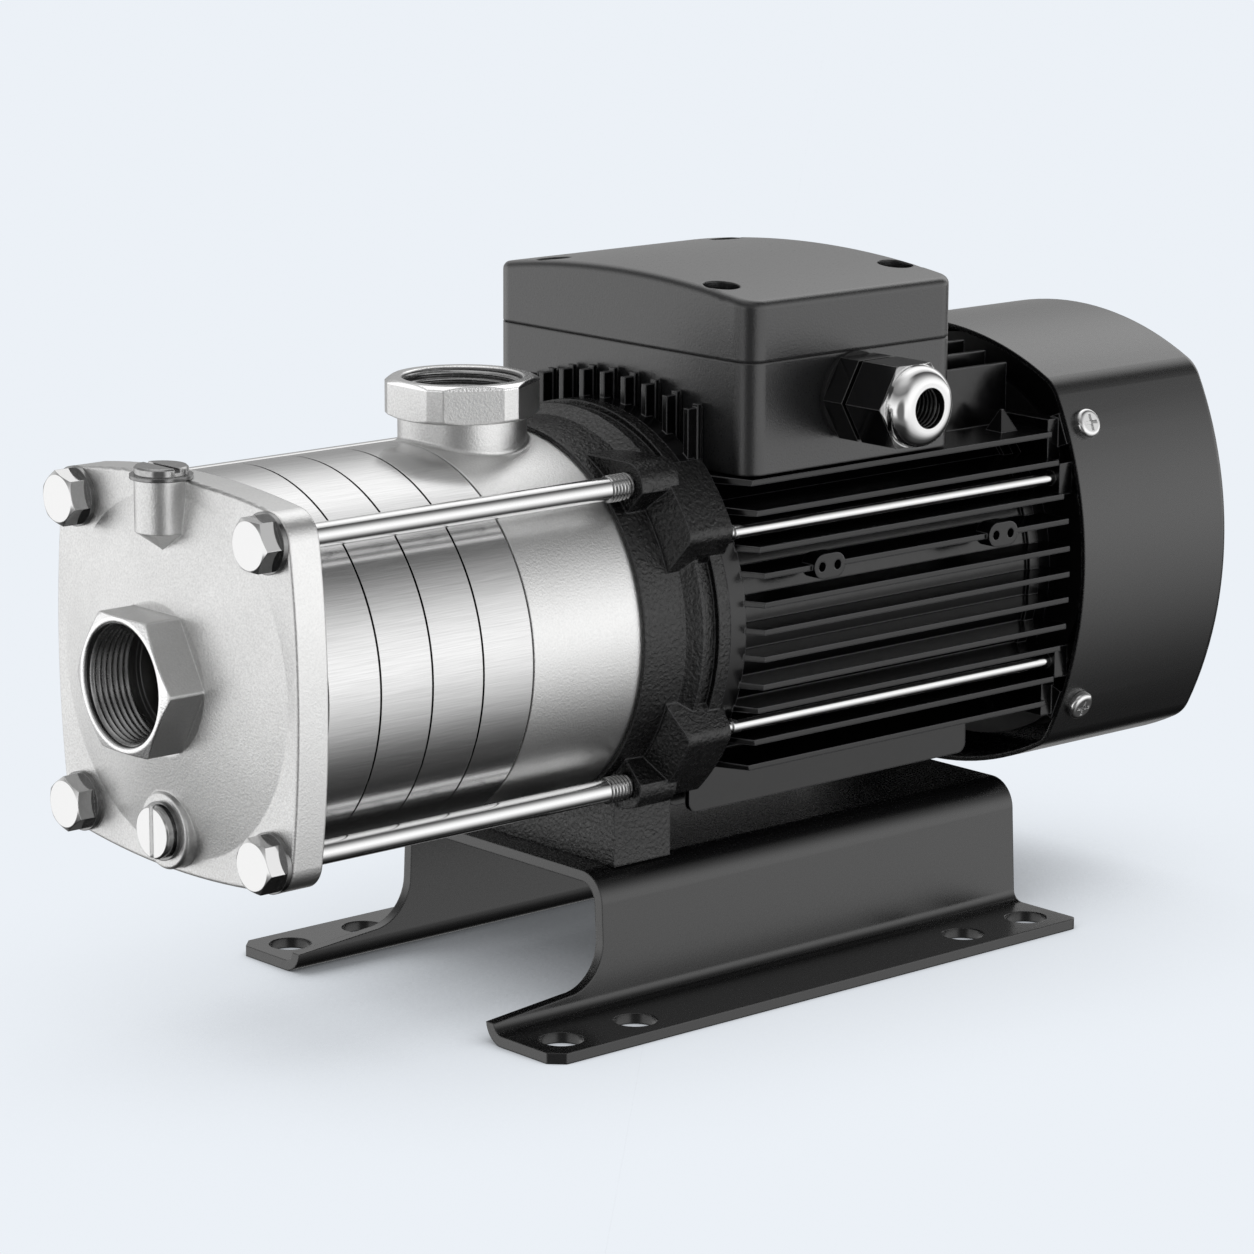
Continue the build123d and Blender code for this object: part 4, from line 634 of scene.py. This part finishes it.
class PUMP_OT_motor(bpy.types.Operator):
    """Finish the bracket, motor frame, end shield, fan cover and base plate"""

    bl_idname = "pump.motor"
    bl_label = "Motor and Base"

    def execute(self, context):
        settings = context.scene.pump_finishes
        dress(crinkle_iron(settings), "motor_bracket")
        dress(gloss_black(settings), "motor_frame", "rear_end_shield")
        dress(satin_sheet(settings), "base_plate", "fan_cover")
        dress(satin_box(settings), "terminal_box", "terminal_box_lid")
        # Lid screws and bracket bolts are black; the motor rod nuts are steel painted black as the shade
        # in the gap at the motor's rear
        dark = plain_finish("dark_screw_and_shaded_nut", gray(0.02), 0.35, metallic=0.6)
        dress(dark, "lid_screws", "bracket_bolts", "motor_rod_nuts")
        return {"FINISHED"}


class PUMP_OT_gland(bpy.types.Operator):
    """Finish the cable gland and the rubber pieces"""

    bl_idname = "pump.gland"
    bl_label = "Cable Gland"

    def execute(self, context):
        dress(gland_black(), "gland_body", "gland_locknut")
        dress(gland_two_tone(), "gland_nut")
        dress(
            plain_finish("black_rubber", (0.014, 0.014, 0.015), 0.6),
            "gland_seals",
            "terminal_box_gaskets",
            "stage_seals",
            "seal_bellows",
            "slinger",
        )
        return {"FINISHED"}


class PUMP_OT_inside(bpy.types.Operator):
    """Finish the pieces inside the pump and the motor"""

    bl_idname = "pump.inside"
    bl_label = "Inner Pieces"

    def execute(self, context):
        dress(
            plain_finish("wetted_steel", (0.6, 0.6, 0.58), 0.35, metallic=1.0),
            *[f"diffuser_{index}" for index in range(1, 5)],
            *[f"impeller_{index}" for index in range(1, 5)],
            "impeller_spacers",
            "impeller_nut",
            "shaft",
        )
        dress(
            plain_finish("bearing_steel", gray(0.7), 0.2, metallic=1.0),
            "front_bearing_outer",
            "front_bearing_inner",
            "rear_bearing_outer",
            "rear_bearing_inner",
            "wave_washer",
            "fan_clip",
            "terminal_box_screws",
        )
        dress(plain_finish("fan_plastic", FAN_BLACK, 0.45), "fan", "terminal_board")
        dress(plain_finish("seal_ceramic", (0.8, 0.79, 0.75), 0.2), "seal_seat")
        dress(plain_finish("seal_carbon", gray(0.02), 0.3), "seal_rotating_ring")
        dress(plain_finish("wear_plastic", (0.7, 0.68, 0.62), 0.4), "wear_rings")
        laminations = plain_finish("laminations", (0.3, 0.3, 0.31), 0.4, metallic=1.0)
        dress(laminations, "stator_core", "rotor_core")
        dress(plain_finish("copper_wire", (0.6, 0.25, 0.12), 0.35, metallic=1.0), "stator_windings")
        dress(plain_finish("post_brass", (0.7, 0.52, 0.24), 0.25, metallic=1.0), "terminal_posts")
        return {"FINISHED"}


class PUMP_OT_threads(bpy.types.Operator):
    """Wind the screw threads in the ports, on the tie rods and in the gland's bore"""

    bl_idname = "pump.threads"
    bl_label = "Threads"

    def execute(self, context):
        settings = context.scene.pump_finishes
        sizes = context.scene.pump_threads
        # The port threads are cast steel painted darker grey as the shade inside the ports
        steel = plain_finish("bore_thread_shaded", gray(0.5), 0.25, metallic=1.0)
        for name in ("suction_port", "discharge_port"):
            shape = (PORT_THREAD_START, sizes.port_depth, sizes.port_pitch, PORT_THREAD_LENGTH)
            ridge = bore_ridge(MOUNTS[name], *shape)
            mesh_piece(f"{name}_thread", *ridge, steel, "pump", "cast_stainless")
        # The tie rods' threads are the rods' steel painted darker as shade
        bright = bright_steel(settings, "thread_steel_shaded", radius=0.0, level=0.6)
        mesh_piece("tie_rod_threads", *rod_threads(sizes), bright, "pump", "bright_steel", smooth=False)
        ridge = bore_ridge(MOUNTS["cable_gland_bore"], **GLAND_RIDGES)
        mesh_piece("gland_bore_ridges", *ridge, gland_black(), "pump", "black_plastic")
        return {"FINISHED"}


class PUMP_OT_fan_rim(bpy.types.Operator):
    """Add a black rim round the fan's blades, a dark ring that stands in for the shade inside the fan
    cover and closes the view through the grille
    """

    bl_idname = "pump.fan_rim"
    bl_label = "Fan Rim"

    def execute(self, context):
        plastic = plain_finish("fan_rim_plastic", FAN_BLACK, 0.45)
        mesh_piece("fan_rim", *fan_rim(), plastic, "rotor", "black_plastic", smooth=False)
        return {"FINISHED"}


class PUMP_OT_stage(bpy.types.Operator):
    """Lay the floor, build the light and set the camera"""

    bl_idname = "pump.stage"
    bl_label = "Stage"

    def execute(self, context):
        settings = context.scene.pump_stage
        build_floor(settings)
        build_light(settings)
        build_camera(settings)
        context.scene.view_settings.view_transform = "Standard"
        return {"FINISHED"}


# Half of the floor's side in metres, and how open its darkest spots are
FLOOR_HALF = 30.0
DARKEST_AT = 0.08
# Contact shadows on the floor: reach in metres, depth, and how open the floor is where they end
FLOOR_SHADOWS = ((0.2, 0.4, 0.85), (0.09, 0.88, 0.72))
SHADOW_SAMPLES = 12

# Studio light seen round the shaft: degrees from straight up towards the gland's side, brightness
RIGHT_LIGHT = (
    (-180, 0.01),
    (-148, 0.01),
    (-134, 0.2),
    (-118, 0.5),
    (-96, 0.36),
    (-74, 0.36),
    (-60, 0.55),
    (-46, 0.93),
    (-32, 1.27),
    (-18, 1.34),
    (-4, 1.0),
    (8, 0.66),
    (18, 0.05),
    (36, 0.22),
    (52, 0.57),
    (66, 0.98),
    (80, 1.22),
    (94, 1.27),
    (108, 0.99),
    (122, 0.66),
    (136, 0.27),
    (150, 0.08),
    (180, 0.01),
)
# The same from the suction port's side, by the sine of the height
LEFT_LIGHT = (
    (-1.0, 0.01),
    (-0.7, 0.04),
    (-0.45, 0.3),
    (-0.3, 1.12),
    (0.0, 1.16),
    (0.25, 0.7),
    (0.5, 0.2),
    (0.75, 0.35),
    (1.0, 0.8),
)
# A ramp holds colours up to one, so it holds brightness in shares of this
LIGHT_SCALE = 2.0
# Where the two sides' light meet, as the X of a direction
SIDES_MEET = (-0.35, 0.25)
# Direction of the dark gap between the two sides' panels, where it starts and is full, and its light
DARK_GAP = (-0.70, -0.69, -0.18)
GAP_SPAN = (0.82, 0.96)
GAP_LIGHT = gray(0.08)

# The photograph's view, 42 degrees to the left of the gland side and 12 degrees above:
# the camera's place, and its directions to the right, up and back
CAMERA_PLACE = (-1.10018, -1.21471, 0.48194)
CAMERA_RIGHT = (0.747481, -0.664266, 0.004707)
CAMERA_UP = (0.139630, 0.164042, 0.976521)
CAMERA_BACK = (-0.649442, -0.729274, 0.215370)
SENSOR_WIDTH = 36.0
CLIP_END = 100.0


def build_floor(settings):
    """A wide pale floor that darkens softly where the object stands close to it."""
    finish = Finish("floor", settings.floor_color, 1.0)
    shade = None
    for reach, depth, clear_at in FLOOR_SHADOWS:
        near = finish.node("ShaderNodeAmbientOcclusion", samples=SHADOW_SAMPLES, Distance=reach)
        part = finish.span(near.outputs["AO"], DARKEST_AT, clear_at, 1.0 - depth * settings.shadow, 1.0)
        shade = part if shade is None else finish.math("MULTIPLY", shade, part)
    glow = finish.node("ShaderNodeEmission", Strength=shade, Color=(*settings.floor_color, 1.0))
    clear = finish.node("ShaderNodeBsdfTransparent")
    output = finish.tree.nodes["Material Output"]
    finish.feed(output.inputs["Surface"], finish.seen(clear.outputs[0], glow.outputs[0]))
    finish.tree.nodes.remove(finish.shader)
    half = FLOOR_HALF
    corners = [(-half, -half, 0), (half, -half, 0), (half, half, 0), (-half, half, 0)]
    floor = new_object("floor", corners, [(0, 1, 2, 3)], finish.material, smooth=False)


def light_ramp(sky, value, stops):
    """Brightness along a range as a ramp node's colour."""
    low, high = stops[0][0], stops[-1][0]
    ramp = sky.node("ShaderNodeValToRGB", Fac=sky.span(value, low, high))
    elements = ramp.color_ramp.elements
    while len(elements) < len(stops):
        elements.new(0.5)
    for element, (place, _) in zip(elements, stops):
        element.position = (place - low) / (high - low)
    for element, (_, bright) in zip(elements, stops):
        element.color = (*gray(bright / LIGHT_SCALE), 1.0)
    return ramp.outputs["Color"]


def build_light(settings):
    """Soft panels round the object as a plain function of direction, behind a pale backdrop."""
    world = bpy.data.worlds.new("studio")
    bpy.context.scene.world = world
    world.use_nodes = True
    sky = Wiring(world.node_tree)
    direction = sky.node("ShaderNodeTexCoord").outputs["Generated"]
    parts = sky.split(direction)
    angle = sky.math("ARCTAN2", sky.math("MULTIPLY", parts["Y"], -1.0), parts["Z"])
    right = light_ramp(sky, sky.math("DEGREES", angle), RIGHT_LIGHT)
    left = light_ramp(sky, parts["Z"], LEFT_LIGHT)
    side = sky.span(parts["X"], *SIDES_MEET, interpolation_type="SMOOTHSTEP")
    gap = sky.span(sky.dot(direction, DARK_GAP), *GAP_SPAN, interpolation_type="SMOOTHSTEP")
    light = sky.tree.nodes["Background"]
    sky.feed(light.inputs["Color"], sky.blend(gap, sky.blend(side, left, right), GAP_LIGHT))
    sky.feed(light.inputs["Strength"], LIGHT_SCALE * settings.level)
    backdrop = sky.node("ShaderNodeBackground", Color=(*settings.floor_color, 1.0))
    output = sky.tree.nodes["World Output"]
    sky.feed(output.inputs["Surface"], sky.seen(light.outputs[0], backdrop.outputs[0]))


def build_camera(settings):
    """The camera that took the photograph."""
    camera = bpy.data.objects.new("camera", bpy.data.cameras.new("camera"))
    bpy.context.scene.collection.objects.link(camera)
    camera.data.lens = settings.lens
    camera.data.sensor_width = SENSOR_WIDTH
    camera.data.clip_end = CLIP_END
    axes = Matrix((CAMERA_RIGHT, CAMERA_UP, CAMERA_BACK)).transposed()
    camera.matrix_world = Matrix.Translation(CAMERA_PLACE) @ axes.to_4x4()
    bpy.context.scene.camera = camera


class PUMP_PT_panel(bpy.types.Panel):
    """Buttons for each group of pieces and for the stage"""

    bl_idname = "PUMP_PT_panel"
    bl_label = "Multistage Pump"
    bl_space_type = "VIEW_3D"
    bl_region_type = "UI"
    bl_category = "Pump"

    def draw(self, context):
        for operator in OPERATORS:
            self.layout.operator(operator.bl_idname)


OPERATORS = (
    PUMP_OT_stage,
    PUMP_OT_hydraulics,
    PUMP_OT_motor,
    PUMP_OT_gland,
    PUMP_OT_inside,
    PUMP_OT_threads,
    PUMP_OT_fan_rim,
)
CLASSES = (PumpFinishes, PumpThreads, PumpStage, *OPERATORS, PUMP_PT_panel)


def register():
    """Register the classes and hang the settings on the scene."""
    for cls in CLASSES:
        bpy.utils.register_class(cls)
    bpy.types.Scene.pump_finishes = bpy.props.PointerProperty(type=PumpFinishes)
    bpy.types.Scene.pump_threads = bpy.props.PointerProperty(type=PumpThreads)
    bpy.types.Scene.pump_stage = bpy.props.PointerProperty(type=PumpStage)


def unregister():
    """Take the settings and the classes away again."""
    del bpy.types.Scene.pump_stage
    del bpy.types.Scene.pump_threads
    del bpy.types.Scene.pump_finishes
    for cls in reversed(CLASSES):
        bpy.utils.unregister_class(cls)


def main():
    """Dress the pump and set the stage."""
    register()
    bpy.ops.pump.stage()
    bpy.ops.pump.hydraulics()
    bpy.ops.pump.motor()
    bpy.ops.pump.gland()
    bpy.ops.pump.inside()
    bpy.ops.pump.threads()
    bpy.ops.pump.fan_rim()


if __name__ == "__main__":
    main()
